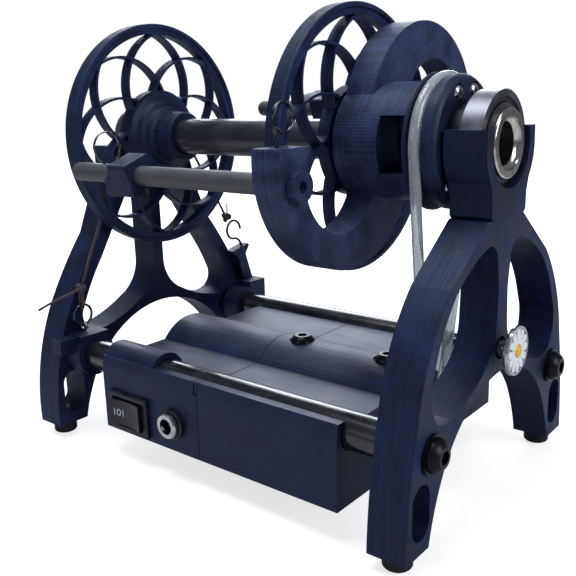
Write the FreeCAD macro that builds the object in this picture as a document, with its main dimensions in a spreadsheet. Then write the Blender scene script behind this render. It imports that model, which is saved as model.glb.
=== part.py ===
import FreeCAD, Part
import math
import os

import Sketcher

os.makedirs("parts", exist_ok=True)
doc = FreeCAD.newDocument("YarnSpinner")
sheet = doc.addObject("Spreadsheet::Sheet", "Sizes")


class Size:
    """A length in mm together with the sheet formula that gives it."""

    def __init__(self, value, formula):
        self.value = value
        self.formula = formula

    def __add__(self, other):
        other = as_size(other)
        return Size(self.value + other.value, "(%s + %s)" % (self.formula, other.formula))

    def __sub__(self, other):
        other = as_size(other)
        return Size(self.value - other.value, "(%s - %s)" % (self.formula, other.formula))

    def __mul__(self, other):
        other = as_size(other)
        return Size(self.value * other.value, "(%s * %s)" % (self.formula, other.formula))

    def __truediv__(self, other):
        other = as_size(other)
        return Size(self.value / other.value, "(%s / %s)" % (self.formula, other.formula))

    def __radd__(self, other):
        return as_size(other) + self

    def __rsub__(self, other):
        return as_size(other) - self

    def __rmul__(self, other):
        return as_size(other) * self

    def __neg__(self):
        return as_size(0) - self

    def __float__(self):
        return float(self.value)


def as_size(number):
    """Takes a plain number or a Size and gives a Size."""
    if isinstance(number, Size):
        return number
    return Size(float(number), "%.10g" % number if number >= 0 else "(%.10g)" % number)


def root(number):
    """The square root of a Size, as a Size."""
    number = as_size(number)
    return Size(math.sqrt(number.value), "sqrt(%s)" % number.formula)


rows = []


def size(name, value):
    """Writes one driving size into the sheet and gives it back as a Size."""
    row = len(rows) + 1
    rows.append(name)
    sheet.set("A%d" % row, name)
    sheet.set("B%d" % row, "%.10g" % value)
    sheet.setAlias("B%d" % row, name)
    return Size(float(value), "Sizes.%s" % name)


# Stand
half_span = size("half_span", 87)
frame_thick = size("frame_thick", 13)
foot_outer = size("foot_outer", 58.4)
foot_inner = size("foot_inner", 45.2)
foot_level = size("foot_level", 5)
crown_half = size("crown_half", 12.5)
crown_level = size("crown_level", 96)
arch_top = size("arch_top", 45.6)
post_half = size("post_half", 3.3)
slot_side = size("slot_side", 50)
slot_half = size("slot_half", 4.9)
narrow_post = size("narrow_post", 2.6)
slot_low = size("slot_low", 14.4)
slot_high = size("slot_high", 22)
saddle_half = size("saddle_half", 20)
saddle_level = size("saddle_level", 115)
rail_radius = size("rail_radius", 6)
rail_side = size("rail_side", 44.4)
rail_level = size("rail_level", 34.4)
rail_socket = size("rail_socket", 3)
seat_gap = size("seat_gap", 0.3)
run_gap = size("run_gap", 0.08)
m6_shank = size("m6_shank", 3)
m6_head = size("m6_head", 5.25)
m6_height = size("m6_height", 3.3)
washer_radius = size("washer_radius", 6.2)
washer_thick = size("washer_thick", 1)
bumper_radius = size("bumper_radius", 4.6)

# Spindle line
spindle = size("spindle", 118)
cradle_half = size("cradle_half", 17.2)
cradle_waist = size("cradle_waist", 12.3)
cradle_top = size("cradle_top", 122.8)
cradle_over = size("cradle_over", 0.9)
cradle_lip = size("cradle_lip", 12.6)
cradle_wall = size("cradle_wall", 2.6)
race_radius = size("race_radius", 16)
race_bore = size("race_bore", 10)
race_width = size("race_width", 7)
small_race = size("small_race", 11)
small_bore = size("small_bore", 4)
orifice_radius = size("orifice_radius", 10.75)
orifice_hole = size("orifice_hole", 6.7)
sleeve_radius = size("sleeve_radius", 12.5)
whorl_radius = size("whorl_radius", 21.6)
whorl_left = size("whorl_left", 62)
whorl_right = size("whorl_right", 73)
belt_radius = size("belt_radius", 1.75)
belt_run = size("belt_run", 20.2)
belt_place = size("belt_place", 66)

# Flyer
arm_back = size("arm_back", 35.5)
arm_face = size("arm_face", 46)
hub_radius = size("hub_radius", 19)
arm_circle = size("arm_circle", 36)
arm_offset = size("arm_offset", 22.5)
arm_drop = size("arm_drop", 3)
eye_circle = size("eye_circle", 19.2)
eye_side = size("eye_side", 28)
eye_drop = size("eye_drop", 7.5)
arm_tip = size("arm_tip", 1.5)
rod_radius = size("rod_radius", 3.35)
rod_side = size("rod_side", 51.7)
rod_drop = size("rod_drop", 9.3)
rod_end = size("rod_end", 56)
boss_radius = size("boss_radius", 4.7)
boss_face = size("boss_face", 48.8)
wire_radius = size("wire_radius", 0.6)

# Bobbin
flange_radius = size("flange_radius", 44.8)
flange_inner = size("flange_inner", 40.8)
flange_depth = size("flange_depth", 4.5)
flange_hub = size("flange_hub", 18.6)
left_flange = size("left_flange", 70.8)
right_flange = size("right_flange", 29.1)
strand = size("strand", 0.95)
strand_arc = size("strand_arc", 22.4)
core_radius = size("core_radius", 7.05)
core_bore = size("core_bore", 5.6)
brake_groove = size("brake_groove", 14)
brake_rim = size("brake_rim", 15.6)

# Drive box
box_left = size("box_left", 50)
box_right = size("box_right", 60)
box_seam = size("box_seam", 1)
box_floor = size("box_floor", 10.3)
box_front = size("box_front", 53)
box_crease = size("box_crease", 31)
box_lip = size("box_lip", 39)
box_rear = size("box_rear", 52.6)
box_deck = size("box_deck", 37)
rear_lip = size("rear_lip", 31)
wall = size("wall", 2.3)
ridge_radius = size("ridge_radius", 19.3)
ridge_level = size("ridge_level", 24.6)
motor_side = size("motor_side", 6)
motor_level = size("motor_level", 27.3)
motor_radius = size("motor_radius", 12.2)
motor_length = size("motor_length", 38)
pulley_run = size("pulley_run", 4.5)

# Switch, jack and knob
switch_place = size("switch_place", 35)
switch_level = size("switch_level", 19.3)
switch_long = size("switch_long", 21)
switch_tall = size("switch_tall", 15)
jack_place = size("jack_place", 11.7)
jack_level = size("jack_level", 21)
knob_level = size("knob_level", 53.7)
knob_radius = size("knob_radius", 8.2)

doc.recompute()


def place(feature, prop, number):
    """Sets a property from a Size, through its sheet formula where it has one."""
    number = as_size(number)
    if "Sizes." in number.formula:
        feature.setExpression(prop, number.formula)
    else:
        path = prop.split(".")
        if len(path) == 1:
            setattr(feature, prop, number.value)
        else:
            feature.setExpression(prop, number.formula)


bodies = []
single = []
cuts = []


def new_body(label, at=(0, 0, 0), turn=None, group=False):
    """A body for one sub-part, placed at a point and turned by axis and degrees."""
    body = doc.addObject("PartDesign::Body", "Body_" + label)
    body.Label = label
    rotation = FreeCAD.Rotation()
    if turn is not None:
        rotation = FreeCAD.Rotation(FreeCAD.Vector(*turn[0]), turn[1])
    spot = [float(as_size(number).value) for number in at]
    body.Placement = FreeCAD.Placement(FreeCAD.Vector(*spot), rotation)
    for letter, number in zip("xyz", at):
        if isinstance(number, Size):
            body.setExpression("Placement.Base." + letter, number.formula)
    body.AllowCompound = True
    bodies.append(body)
    if not group:
        single.append(label)
    return body


def plane_of(body, role):
    """The origin plane of a body, by its two letters."""
    for feature in body.Origin.OriginFeatures:
        if feature.Role == role + "_Plane":
            return feature
    return None


def axis_of(body, letter):
    """The origin axis of a body, by its letter."""
    for feature in body.Origin.OriginFeatures:
        if feature.Role == letter + "_Axis":
            return feature
    return None


def arc_between(start, end, bend):
    """The minor arc from start to end, turning left when bend is positive."""
    radius = abs(bend)
    middle = (start + end) * 0.5
    chord = end - start
    rise = math.sqrt(max(radius * radius - chord.Length * chord.Length / 4, 0.0))
    side = FreeCAD.Vector(-chord.y, chord.x, 0).normalize()
    centre = middle + side * (rise if bend > 0 else -rise)
    first = math.atan2(start.y - centre.y, start.x - centre.x)
    last = math.atan2(end.y - centre.y, end.x - centre.x)
    circle = Part.Circle(centre, FreeCAD.Vector(0, 0, 1), radius)
    if bend > 0:
        return Part.ArcOfCircle(circle, first, last)
    return Part.ArcOfCircle(circle, last, first)


def fix(sketch, kind, where, number):
    """Adds a dimension to a sketch, driven by the sheet where the size is."""
    number = as_size(number)
    index = sketch.addConstraint(Sketcher.Constraint(kind, *where, number.value))
    if "Sizes." in number.formula:
        sketch.renameConstraint(index, "d%d" % index)
        sketch.setExpression("Constraints.d%d" % index, number.formula)


def draw(body, plane, loops, at=(0, 0, 0), open_path=False):
    """A sketch on an origin plane. A loop is a list of corners (u, v) or
    (u, v, bend), where bend is the signed radius of the arc that arrives at
    the corner, or a circle ("o", u, v, radius)."""
    sketch = body.newObject("Sketcher::SketchObject", "Sketch_" + body.Label)
    sketch.AttachmentSupport = (plane_of(body, plane), [""])
    sketch.MapMode = "FlatFace"
    spot = [float(as_size(number).value) for number in at]
    sketch.AttachmentOffset = FreeCAD.Placement(FreeCAD.Vector(*spot), FreeCAD.Rotation())
    for letter, number in zip("xyz", at):
        if isinstance(number, Size):
            sketch.setExpression("AttachmentOffset.Base." + letter, number.formula)
    for loop in loops:
        if loop[0] == "o":
            u, v, radius = [as_size(number) for number in loop[1:]]
            centre = FreeCAD.Vector(u.value, v.value, 0)
            circle = Part.Circle(centre, FreeCAD.Vector(0, 0, 1), radius.value)
            index = sketch.addGeometry(circle, False)
            fix(sketch, "Radius", (index,), radius)
            fix(sketch, "DistanceX", (index, 3), u)
            fix(sketch, "DistanceY", (index, 3), v)
            continue
        corners = [(as_size(corner[0]), as_size(corner[1])) for corner in loop]
        bends = [corner[2] if len(corner) > 2 else None for corner in loop]
        ends = []
        count = len(loop)
        last = count - 1 if open_path else count
        for number in range(last):
            after = (number + 1) % count
            start = FreeCAD.Vector(corners[number][0].value, corners[number][1].value, 0)
            end = FreeCAD.Vector(corners[after][0].value, corners[after][1].value, 0)
            bend = bends[after]
            if bend is None:
                index = sketch.addGeometry(Part.LineSegment(start, end), False)
                ends.append((index, 1, 2))
            else:
                bend = as_size(bend)
                index = sketch.addGeometry(arc_between(start, end, bend.value), False)
                ends.append((index, 1, 2) if bend.value > 0 else (index, 2, 1))
                radius = bend if bend.value > 0 else Size(-bend.value, "abs(%s)" % bend.formula)
                fix(sketch, "Radius", (index,), radius)
        for number in range(count - 1 if open_path else count):
            if open_path and number == count - 2:
                break
            here = ends[number]
            after = ends[(number + 1) % count]
            joint = Sketcher.Constraint("Coincident", here[0], here[2], after[0], after[1])
            sketch.addConstraint(joint)
        spots = [(item[0], item[1]) for item in ends]
        if open_path:
            spots.append((ends[-1][0], ends[-1][2]))
        for spot, corner in zip(spots, corners):
            fix(sketch, "DistanceX", spot, corner[0])
            fix(sketch, "DistanceY", spot, corner[1])
    return sketch


def pad(body, plane, loops, length, at=(0, 0, 0)):
    """Adds material along the plane's normal."""
    feature = body.newObject("PartDesign::Pad", "Pad_" + body.Label)
    feature.Profile = draw(body, plane, loops, at)
    place(feature, "Length", length)
    return feature


def cut(body, plane, loops, length, at=(0, 0, 0)):
    """Takes material away along the plane's normal."""
    feature = body.newObject("PartDesign::Pocket", "Cut_" + body.Label)
    feature.Profile = draw(body, plane, loops, at)
    place(feature, "Length", length)
    feature.Reversed = True
    cuts.append((body, feature))
    return feature


def spin(body, loops, at=(0, 0, 0), plane="XY"):
    """Turns a profile about the sketch's own horizontal axis."""
    feature = body.newObject("PartDesign::Revolution", "Turned_" + body.Label)
    sketch = draw(body, plane, loops, at)
    feature.Profile = sketch
    feature.ReferenceAxis = (sketch, ["H_Axis"])
    feature.Angle = 360
    return feature


def groove(body, loops, at=(0, 0, 0), plane="XY"):
    """Turns a profile about the sketch's horizontal axis and takes it away."""
    feature = body.newObject("PartDesign::Groove", "Groove_" + body.Label)
    sketch = draw(body, plane, loops, at)
    feature.Profile = sketch
    feature.ReferenceAxis = (sketch, ["H_Axis"])
    feature.Angle = 360
    cuts.append((body, feature))
    return feature


def around(body, features, count, letter="X"):
    """Repeats features evenly around an origin axis of the body."""
    pattern = body.newObject("PartDesign::PolarPattern", "Around_" + body.Label)
    pattern.Originals = features
    pattern.Axis = (axis_of(body, letter), [""])
    pattern.Angle = 360
    pattern.Occurrences = count
    body.Tip = pattern
    return pattern


def along(body, features, count, pitch, letter="X"):
    """Repeats features in a row along an origin axis of the body."""
    pattern = body.newObject("PartDesign::LinearPattern", "Along_" + body.Label)
    pattern.Originals = features
    pattern.Direction = (axis_of(body, letter), [""])
    pattern.Mode = "Spacing"
    place(pattern, "Offset", pitch)
    pattern.Occurrences = count
    body.Tip = pattern
    return pattern


def mirrored(body, features, plane):
    """Repeats features mirrored in an origin plane of the body."""
    mirror = body.newObject("PartDesign::Mirrored", "Mirror_" + body.Label)
    mirror.Originals = features
    mirror.MirrorPlane = (plane_of(body, plane), [""])
    body.Tip = mirror
    return mirror


def round_edges(body, wanted, radius, kind="Fillet"):
    """Rounds or bevels the edges that a test function picks."""
    doc.recompute()
    base = body.Tip
    names = []
    for number, edge in enumerate(base.Shape.Edges, 1):
        if wanted(edge):
            names.append("Edge%d" % number)
    if not names:
        raise RuntimeError("no edge found to round in %s" % body.Label)
    feature = body.newObject("PartDesign::" + kind, kind + "_" + body.Label)
    feature.Base = (base, names)
    place(feature, "Radius" if kind == "Fillet" else "Size", radius)
    doc.recompute()
    return feature


def ring(inner, outer, left, right):
    """The profile of a plain ring for spin."""
    return [(left, inner), (right, inner), (right, outer), (left, outer)]


def disc(radius, left, right):
    """The profile of a plain cylinder for spin."""
    return [(left, 0), (right, 0), (right, radius), (left, radius)]


def hexagon(u, v, half):
    """A hexagon about a centre, with half its width across the flats."""
    far = half * 1.1547
    near_side = half * 0.57735
    return [
        (u + far, v),
        (u + near_side, v + half),
        (u - near_side, v + half),
        (u - far, v),
        (u - near_side, v - half),
        (u + near_side, v - half),
    ]


def near(a, b, slack=0.05):
    return abs(a - b) < slack


# The two end frames


def right_frame():
    """The right end frame: an arch on two splayed legs, two windows, a post."""
    body = new_body("frame_right", (half_span - frame_thick, 0, 0))
    outline = [
        (crown_half, crown_level),
        (-crown_half, crown_level),
        (-34.4, 80.1),
        (-52.2, 45.8, 62),
        (-foot_outer, foot_level, 190),
        (-foot_inner, foot_level),
        (-36.6, 26, -72),
        (0, arch_top, -44.5),
        (36.6, 26, -44.5),
        (foot_inner, foot_level, -72),
        (foot_outer, foot_level),
        (52.2, 45.8, 190),
        (34.4, 80.1, 62),
    ]
    pad(body, "YZ", [outline], frame_thick)
    window = [
        (-post_half, 72),
        (-post_half - 1.2, 81, 60),
        (-11, 88.4, 6.5),
        (-31.1, 78.2, 50),
        (-43.1, 59.5, 46),
        (-41, 42.1, 14),
        (-32.7, 40.7, 14),
        (-13, 48, 60),
        (-4, 61, 18),
    ]
    first = cut(body, "YZ", [window], frame_thick)
    mirrored(body, [first], "XZ")
    leg_slots(body)
    frame_holes(body, 0)
    cut(body, "YZ", [("o", 0, knob_level, 5.6)], frame_thick - 5)
    cut(body, "YZ", [("o", 0, knob_level, 3.8)], frame_thick)
    return body


def leg_slots(body):
    """The long oval slot low in each leg."""
    middle = -slot_side
    slot = [
        (middle + slot_half, slot_low, slot_half),
        (middle + slot_half, slot_high),
        (middle, slot_high + slot_half, slot_half),
        (middle - slot_half, slot_high, slot_half),
        (middle - slot_half, slot_low),
        (middle, slot_low - slot_half, slot_half),
    ]
    first = cut(body, "YZ", [slot], frame_thick)
    mirrored(body, [first], "XZ")


def frame_holes(body, inner_face):
    """The rail sockets on the inner face and the screw holes through."""
    for side in (-1, 1):
        where = ("o", side * rail_side, rail_level, rail_radius + seat_gap)
        cut(body, "YZ", [where], rail_socket, (0, 0, inner_face))
        where = ("o", side * rail_side, rail_level, m6_shank + seat_gap)
        cut(body, "YZ", [where], frame_thick)


def left_frame():
    """The left end frame: narrower and taller, ending in an open saddle."""
    body = new_body("frame_left", (-half_span, 0, 0))
    lip = small_race - 1.5
    reach = root(lip * lip - (spindle - saddle_level) * (spindle - saddle_level))
    outline = [
        (reach, saddle_level, lip),
        (saddle_half, saddle_level),
        (saddle_half, 106),
        (31, 80),
        (48.5, 53, -190),
        (foot_outer, foot_level, -100),
        (foot_inner, foot_level),
        (36.6, 26, 72),
        (0, arch_top, 44.5),
        (-36.6, 26, 44.5),
        (-foot_inner, foot_level, 72),
        (-foot_outer, foot_level),
        (-48.5, 53, -100),
        (-31, 80, -190),
        (-saddle_half, 106),
        (-saddle_half, saddle_level),
        (-reach, saddle_level),
        (0, spindle - lip, lip),
    ]
    pad(body, "YZ", [outline], frame_thick)
    seat = small_race + seat_gap
    depth = race_width + 2 * seat_gap
    cut(body, "YZ", [("o", 0, spindle, seat)], depth, (0, 0, (frame_thick - depth) / 2))
    window = [
        (-narrow_post, 63, 17),
        (-narrow_post, 92),
        (-6.5, 98, 5),
        (-14.5, 97, 6),
        (-30.9, 70.5),
        (-41.7, 51.6, 100),
        (-38.9, 42, 7),
        (-31, 41.2, 12),
        (-12.5, 48.5, 60),
    ]
    first = cut(body, "YZ", [window], frame_thick)
    mirrored(body, [first], "XZ")
    leg_slots(body)
    frame_holes(body, frame_thick - rail_socket)
    return body


left_frame()
right_frame()


def rail(label, side):
    """One of the two lower tubes, seated in both frames."""
    end = half_span - frame_thick + rail_socket
    body = new_body(label, (-end, side * rail_side, rail_level))
    spin(body, [ring(m6_shank - 0.5, rail_radius, 0, 2 * end)])


rail("rail_front", -1)
rail("rail_rear", 1)


def rail_fasteners():
    """Button-head screws and washers, both rails, both ends."""
    washers = new_body("rail_washers", (0, 0, rail_level), group=True)
    at = (0, rail_side, 0)
    face = half_span
    one = spin(washers, [ring(m6_shank + seat_gap, washer_radius, face, face + washer_thick)], at)
    four_corners(washers, [one])
    screws = new_body("rail_screws", (0, 0, rail_level), group=True)
    head = face + washer_thick
    profile = [
        (face - frame_thick + rail_socket + 0.4, 0),
        (head + m6_height, 0),
        (head + m6_height, m6_head * 0.62),
        (head + 0.5, m6_head, 4.6),
        (head, m6_head),
        (head, m6_shank),
        (face - frame_thick + rail_socket + 0.4, m6_shank),
    ]
    one = spin(screws, [profile], at)
    key = hexagon(rail_side, as_size(0), m6_shank * 0.667)
    socket = cut(screws, "YZ", [key], 2, (0, 0, head + m6_height - 2))
    four_corners(screws, [one, socket])


def four_corners(body, features):
    """Repeats features at both ends of both rails."""
    multi = body.newObject("PartDesign::MultiTransform", "Four_" + body.Label)
    multi.Originals = features
    across = body.newObject("PartDesign::Mirrored", "Across_" + body.Label)
    across.MirrorPlane = (plane_of(body, "YZ"), [""])
    front = body.newObject("PartDesign::Mirrored", "Front_" + body.Label)
    front.MirrorPlane = (plane_of(body, "XZ"), [""])
    multi.Transformations = [across, front]
    body.Tip = multi


rail_fasteners()


def bumpers():
    """Rubber bumpers under the four feet, each with a short stem."""
    middle = (foot_outer + foot_inner) / 2
    body = new_body("foot_bumpers", group=True)
    one = body.newObject("PartDesign::Pad", "Pad_bumper")
    at = (half_span - frame_thick / 2, -middle, 0)
    one.Profile = draw(body, "XY", [("o", 0, 0, bumper_radius)], at)
    place(one, "Length", foot_level)
    edge = round_edges(body, lambda e: near(e.BoundBox.ZMax, 0), 1.2)
    multi = body.newObject("PartDesign::MultiTransform", "Four_bumpers")
    multi.Originals = [one, edge]
    across = body.newObject("PartDesign::Mirrored", "Across_bumpers")
    across.MirrorPlane = (plane_of(body, "YZ"), [""])
    front = body.newObject("PartDesign::Mirrored", "Front_bumpers")
    front.MirrorPlane = (plane_of(body, "XZ"), [""])
    multi.Transformations = [across, front]
    body.Tip = multi


bumpers()


# The spindle line, from the right


def cradle():
    """The open bearing cradle that stands on the right frame."""
    body = new_body("bearing_cradle", (half_span - frame_thick, 0, 0))
    lip = race_radius - cradle_wall
    rise = cradle_top - spindle
    reach = root(lip * lip - rise * rise)
    outline = [
        (reach, cradle_top, lip),
        (cradle_half - 0.3, cradle_top),
        (cradle_half, 117.4),
        (cradle_waist + 1.4, 107, -17),
        (cradle_waist, 102.6),
        (cradle_waist, crown_level + 1.2),
        (cradle_waist - 1.2, crown_level),
        (-cradle_waist + 1.2, crown_level),
        (-cradle_waist, crown_level + 1.2),
        (-cradle_waist, 102.6),
        (-cradle_waist - 1.4, 107),
        (-cradle_half, 117.4, -17),
        (-cradle_half + 0.3, cradle_top),
        (-reach, cradle_top),
        (-lip, spindle, lip),
        (0, spindle - lip, lip),
        (lip, spindle, lip),
    ]
    pad(body, "YZ", [outline], frame_thick + cradle_over)
    place_left = bearing_left - half_span + frame_thick - 0.25
    cut(body, "YZ", [("o", 0, spindle, race_radius + seat_gap)], race_width + 0.5, (0, 0, place_left))


bearing_left = half_span - 8.85
cradle()


def bearing(name, left, outer, bore, pitch, ball, count):
    """A shielded ball bearing: two rings, shields and balls."""
    level = (0, 0, spindle)
    right = left + race_width
    middle = left + race_width / 2
    rings = (("outer", outer, 1), ("inner", bore, -1))
    land = ball - 0.55
    for part, far, way in rings:
        body = new_body("%s_%s_ring" % (name, part), level)
        face = pitch + way * land
        bend = ball + seat_gap
        half = root(bend * bend - land * land)
        corners = [
            (left, far),
            (left, face),
            (middle - half, face),
            (middle + half, face, -way * bend),
            (right, face),
            (right, far),
        ]
        if way > 0:
            corners[3] = (middle + half, face, -bend)
        spin(body, [corners])
    body = new_body(name + "_shields", level, group=True)
    inner = pitch - land + 0.3
    rim = pitch + land - 0.05
    one = spin(body, [ring(inner, rim, right - 0.75, right - 0.4)])
    two = spin(body, [ring(inner, rim, left + 0.4, left + 0.75)])
    body = new_body(name + "_balls", level, group=True)
    globe = body.newObject("PartDesign::AdditiveSphere", "Ball")
    globe.AttachmentSupport = (plane_of(body, "YZ"), [""])
    globe.MapMode = "FlatFace"
    place(globe, "Radius", ball)
    globe.AttachmentOffset = FreeCAD.Placement(FreeCAD.Vector(pitch.value, 0, middle.value), FreeCAD.Rotation())
    globe.setExpression("AttachmentOffset.Base.x", pitch.formula)
    globe.setExpression("AttachmentOffset.Base.z", middle.formula)
    around(body, [globe], count)


ball_pitch = (race_radius + race_bore) / 2
bearing("bearing_right", bearing_left, race_radius, race_bore, ball_pitch, size("ball_radius", 1.45), 12)
small_left = -half_span + (frame_thick - race_width) / 2
small_pitch = (small_race + small_bore) / 2
bearing("bearing_left", small_left, small_race, small_bore, small_pitch, size("small_ball", 1.75), 7)


def orifice():
    """The flanged tube that the yarn enters, with its bevelled mouth."""
    body = new_body("orifice_tube", (0, 0, spindle))
    face = bearing_left + race_width + 2.15
    seat = bearing_left + race_width + 0.1
    outer = race_bore - run_gap
    profile = [
        (whorl_left, orifice_hole),
        (face - 1.9, orifice_hole),
        (face, orifice_hole + 1.5, -2.6),
        (face, orifice_radius - 0.7),
        (face - 0.7, orifice_radius, 0.7),
        (seat, orifice_radius),
        (seat, outer),
        (whorl_left, outer),
    ]
    spin(body, [profile])
    body = new_body("spindle_sleeve", (0, 0, spindle))
    bore = race_bore + seat_gap
    profile = [
        (whorl_right, bore),
        (bearing_left, bore),
        (bearing_left, ball_pitch - 1.3),
        (bearing_left - 0.6, ball_pitch - 1.3),
        (bearing_left - 0.6, sleeve_radius - 0.4),
        (bearing_left - 1, sleeve_radius),
        (whorl_right, sleeve_radius),
    ]
    spin(body, [profile])


orifice()


def whorl():
    """The belt wheel on the flyer with its rounded right side and screws."""
    body = new_body("whorl", (0, 0, spindle))
    bore = race_bore + seat_gap
    bend = belt_radius + seat_gap
    lift = 0.9
    half = root(bend * bend - lift * lift)
    shoulder = belt_run - lift
    profile = [
        (whorl_left, bore),
        (whorl_right, bore),
        (whorl_right, 19.3),
        (whorl_right - 2.2, whorl_radius - 0.7, 3.6),
        (belt_place + half + 0.5, whorl_radius - 0.8),
        (belt_place + half, shoulder),
        (belt_place - half, shoulder, -bend),
        (belt_place - half - 0.5, whorl_radius - 0.5),
        (belt_place - half - 1, whorl_radius),
        (whorl_left + 0.6, whorl_radius),
        (whorl_left, whorl_radius - 0.6),
    ]
    spin(body, [profile])
    sink = whorl_right - 0.9
    u, v = first_screw
    seats = cut(body, "YZ", [("o", u, v, 2.9)], 2, (0, 0, sink))
    holes = cut(body, "YZ", [("o", u, v, 1.55)], whorl_right - whorl_left, (0, 0, whorl_left))
    around(body, [seats, holes], 3)
    u, v = odd_screw
    cut(body, "YZ", [("o", u, v, 2.9)], 2, (0, 0, sink))
    cut(body, "YZ", [("o", u, v, 1.55)], whorl_right - whorl_left, (0, 0, whorl_left))
    body = new_body("whorl_screws", (0, 0, spindle), group=True)
    profile = [
        (whorl_left - 4.5, 0),
        (whorl_right + 0.5, 0),
        (whorl_right + 0.5, 1.7),
        (sink + 0.3, 2.6, 2.1),
        (sink, 2.6),
        (sink, 1.25),
        (whorl_left - 4.5, 1.25),
    ]
    u, v = first_screw
    one = spin(body, [profile], (0, v, -u), "XZ")
    key = cut(body, "YZ", [hexagon(u, v, as_size(1))], 1.2, (0, 0, whorl_right - 0.7))
    around(body, [one, key], 3)
    u, v = odd_screw
    spin(body, [profile], (0, v, -u), "XZ")
    cut(body, "YZ", [hexagon(u, v, as_size(1))], 1.2, (0, 0, whorl_right - 0.7))


screw_circle = size("screw_circle", 16.2)
first_screw = (screw_circle * -0.3584, screw_circle * 0.9336)
odd_screw = (screw_circle * 0.2756, screw_circle * 0.9613)
whorl()


# The flyer


def flyer():
    """The S-shaped flyer body: a hub, two hooked arms and two rod sockets."""
    body = new_body("flyer_body", (0, 0, spindle))
    arm = arm_circle
    side = arm_offset
    low = arm_drop
    tip_out = side + root(arm * arm - (arm_tip + low) * (arm_tip + low))
    tip_in = eye_side + root(eye_circle * eye_circle - (arm_tip + eye_drop) * (arm_tip + eye_drop))
    gap = root(eye_side * eye_side + eye_drop * eye_drop)
    foot = (hub_radius * hub_radius - eye_circle * eye_circle + gap * gap) / (2 * gap)
    rise = root(hub_radius * hub_radius - foot * foot)
    meet_u = (foot * eye_side - rise * eye_drop) / gap
    meet_v = (foot * eye_drop + rise * eye_side) / gap
    outline = [
        (arm - side, -low, arm),
        (0, 0),
        (-meet_u, -meet_v),
        (-eye_side, -eye_drop - eye_circle, -eye_circle),
        (-eye_side - eye_circle, -eye_drop, -eye_circle),
        (-tip_in, arm_tip, -eye_circle),
        (-tip_out, arm_tip),
        (-side - arm, -low, arm),
        (-side, -low - arm, arm),
    ]
    thick = arm_face - arm_back
    first = pad(body, "YZ", [outline], thick, (0, 0, arm_back))
    around(body, [first], 2)
    boss = pad(body, "YZ", [("o", -rod_side, -rod_drop, boss_radius)], boss_face - arm_back, (0, 0, arm_back))
    around(body, [boss], 2)
    pad(body, "YZ", [("o", 0, 0, hub_radius)], whorl_left - arm_back, (0, 0, arm_back))
    spots = (0, 0, arm_back)
    bore = cut(body, "YZ", [("o", -rod_side, -rod_drop, rod_radius + seat_gap)], rod_floor - arm_back, spots)
    small = cut(body, "YZ", [("o", -rod_side, -rod_drop, 1.8)], boss_face - rod_floor, (0, 0, rod_floor))
    around(body, [bore, small], 2)
    cut(body, "YZ", [("o", 0, 0, small_bore + seat_gap)], shaft_end - arm_back, spots)
    cut(body, "YZ", [("o", 0, 0, orifice_hole)], whorl_left - shaft_end, (0, 0, shaft_end))
    u, v = first_screw
    hole = cut(body, "YZ", [("o", u, v, 1.55)], 5, (0, 0, whorl_left - 5))
    around(body, [hole], 3)
    u, v = odd_screw
    cut(body, "YZ", [("o", u, v, 1.55)], 5, (0, 0, whorl_left - 5))
    exit_window = [(52, -9), (61, -9), (61, 9), (52, 9)]
    cut(body, "XZ", [exit_window], hub_radius - 4, (0, 0, 5))
    cut(body, "XY", [("o", arm_face - 5, -53.4, wire_radius + run_gap)], 3.4, (0, 0, -1.4))


rod_floor = size("rod_floor", 46)
shaft_end = size("shaft_end", 46)
flyer()


def flyer_shaft():
    """The steel shaft that carries the bobbin, from the hub to the saddle."""
    left = -half_span + 1.5
    body = new_body("flyer_shaft", (0, 0, spindle))
    radius = small_bore - run_gap
    profile = disc(radius, left, shaft_end)
    profile[0] = (left, 0)
    profile[3] = (left, radius - 0.6)
    profile.insert(3, (left + 0.6, radius))
    spin(body, [profile])


flyer_shaft()


def rod(label, way):
    """One of the two straight rods beside the bobbin, with a domed end."""
    body = new_body(label, (0, way * rod_side, spindle + way * rod_drop))
    profile = [
        (-rod_end, 0),
        (rod_floor, 0),
        (rod_floor, rod_radius),
        (-rod_end + 2.2, rod_radius),
        (-rod_end, 1.2, 2.4),
    ]
    spin(body, [profile])


rod("rod_front", -1)
rod("rod_rear", 1)


def wire(label, plane, corners, at, thick=None, start_level=None):
    """A bent wire: an open path of straight and curved runs, swept round."""
    body = new_body(label, at)
    path = draw(body, plane, [corners], open_path=True)
    doc.recompute()
    section = body.newObject("Sketcher::SketchObject", "Section_" + label)
    section.AttachmentSupport = [(path, "Edge1")]
    section.MapMode = "NormalToEdge"
    radius = wire_radius if thick is None else thick
    circle = Part.Circle(FreeCAD.Vector(0, 0, 0), FreeCAD.Vector(0, 0, 1), float(radius))
    index = section.addGeometry(circle, False)
    fix(section, "Radius", (index,), radius)
    section.addConstraint(Sketcher.Constraint("Coincident", index, 3, -1, 1))
    sweep = body.newObject("PartDesign::AdditivePipe", "Wire_" + label)
    sweep.Profile = section
    edges = ["Edge%d" % (number + 1) for number in range(len(path.Shape.Edges))]
    sweep.Spine = (path, edges)
    return body


def fixed_eye():
    """The wire eye that stands on the tip of the front arm."""
    turn = 4.3
    corners = [
        (-53.4, -1.2),
        (-53.4, 4.2),
        (-50.4 - turn, 9.7, -9),
        (-50.4, 9.7 + turn, -turn),
        (-50.4 + turn, 9.7, -turn),
        (-50.4, 9.7 - turn, -turn),
        (-52.6, 7.2, -turn),
    ]
    wire("fixed_eye", "YZ", corners, (arm_face - 5, 0, spindle))


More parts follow.
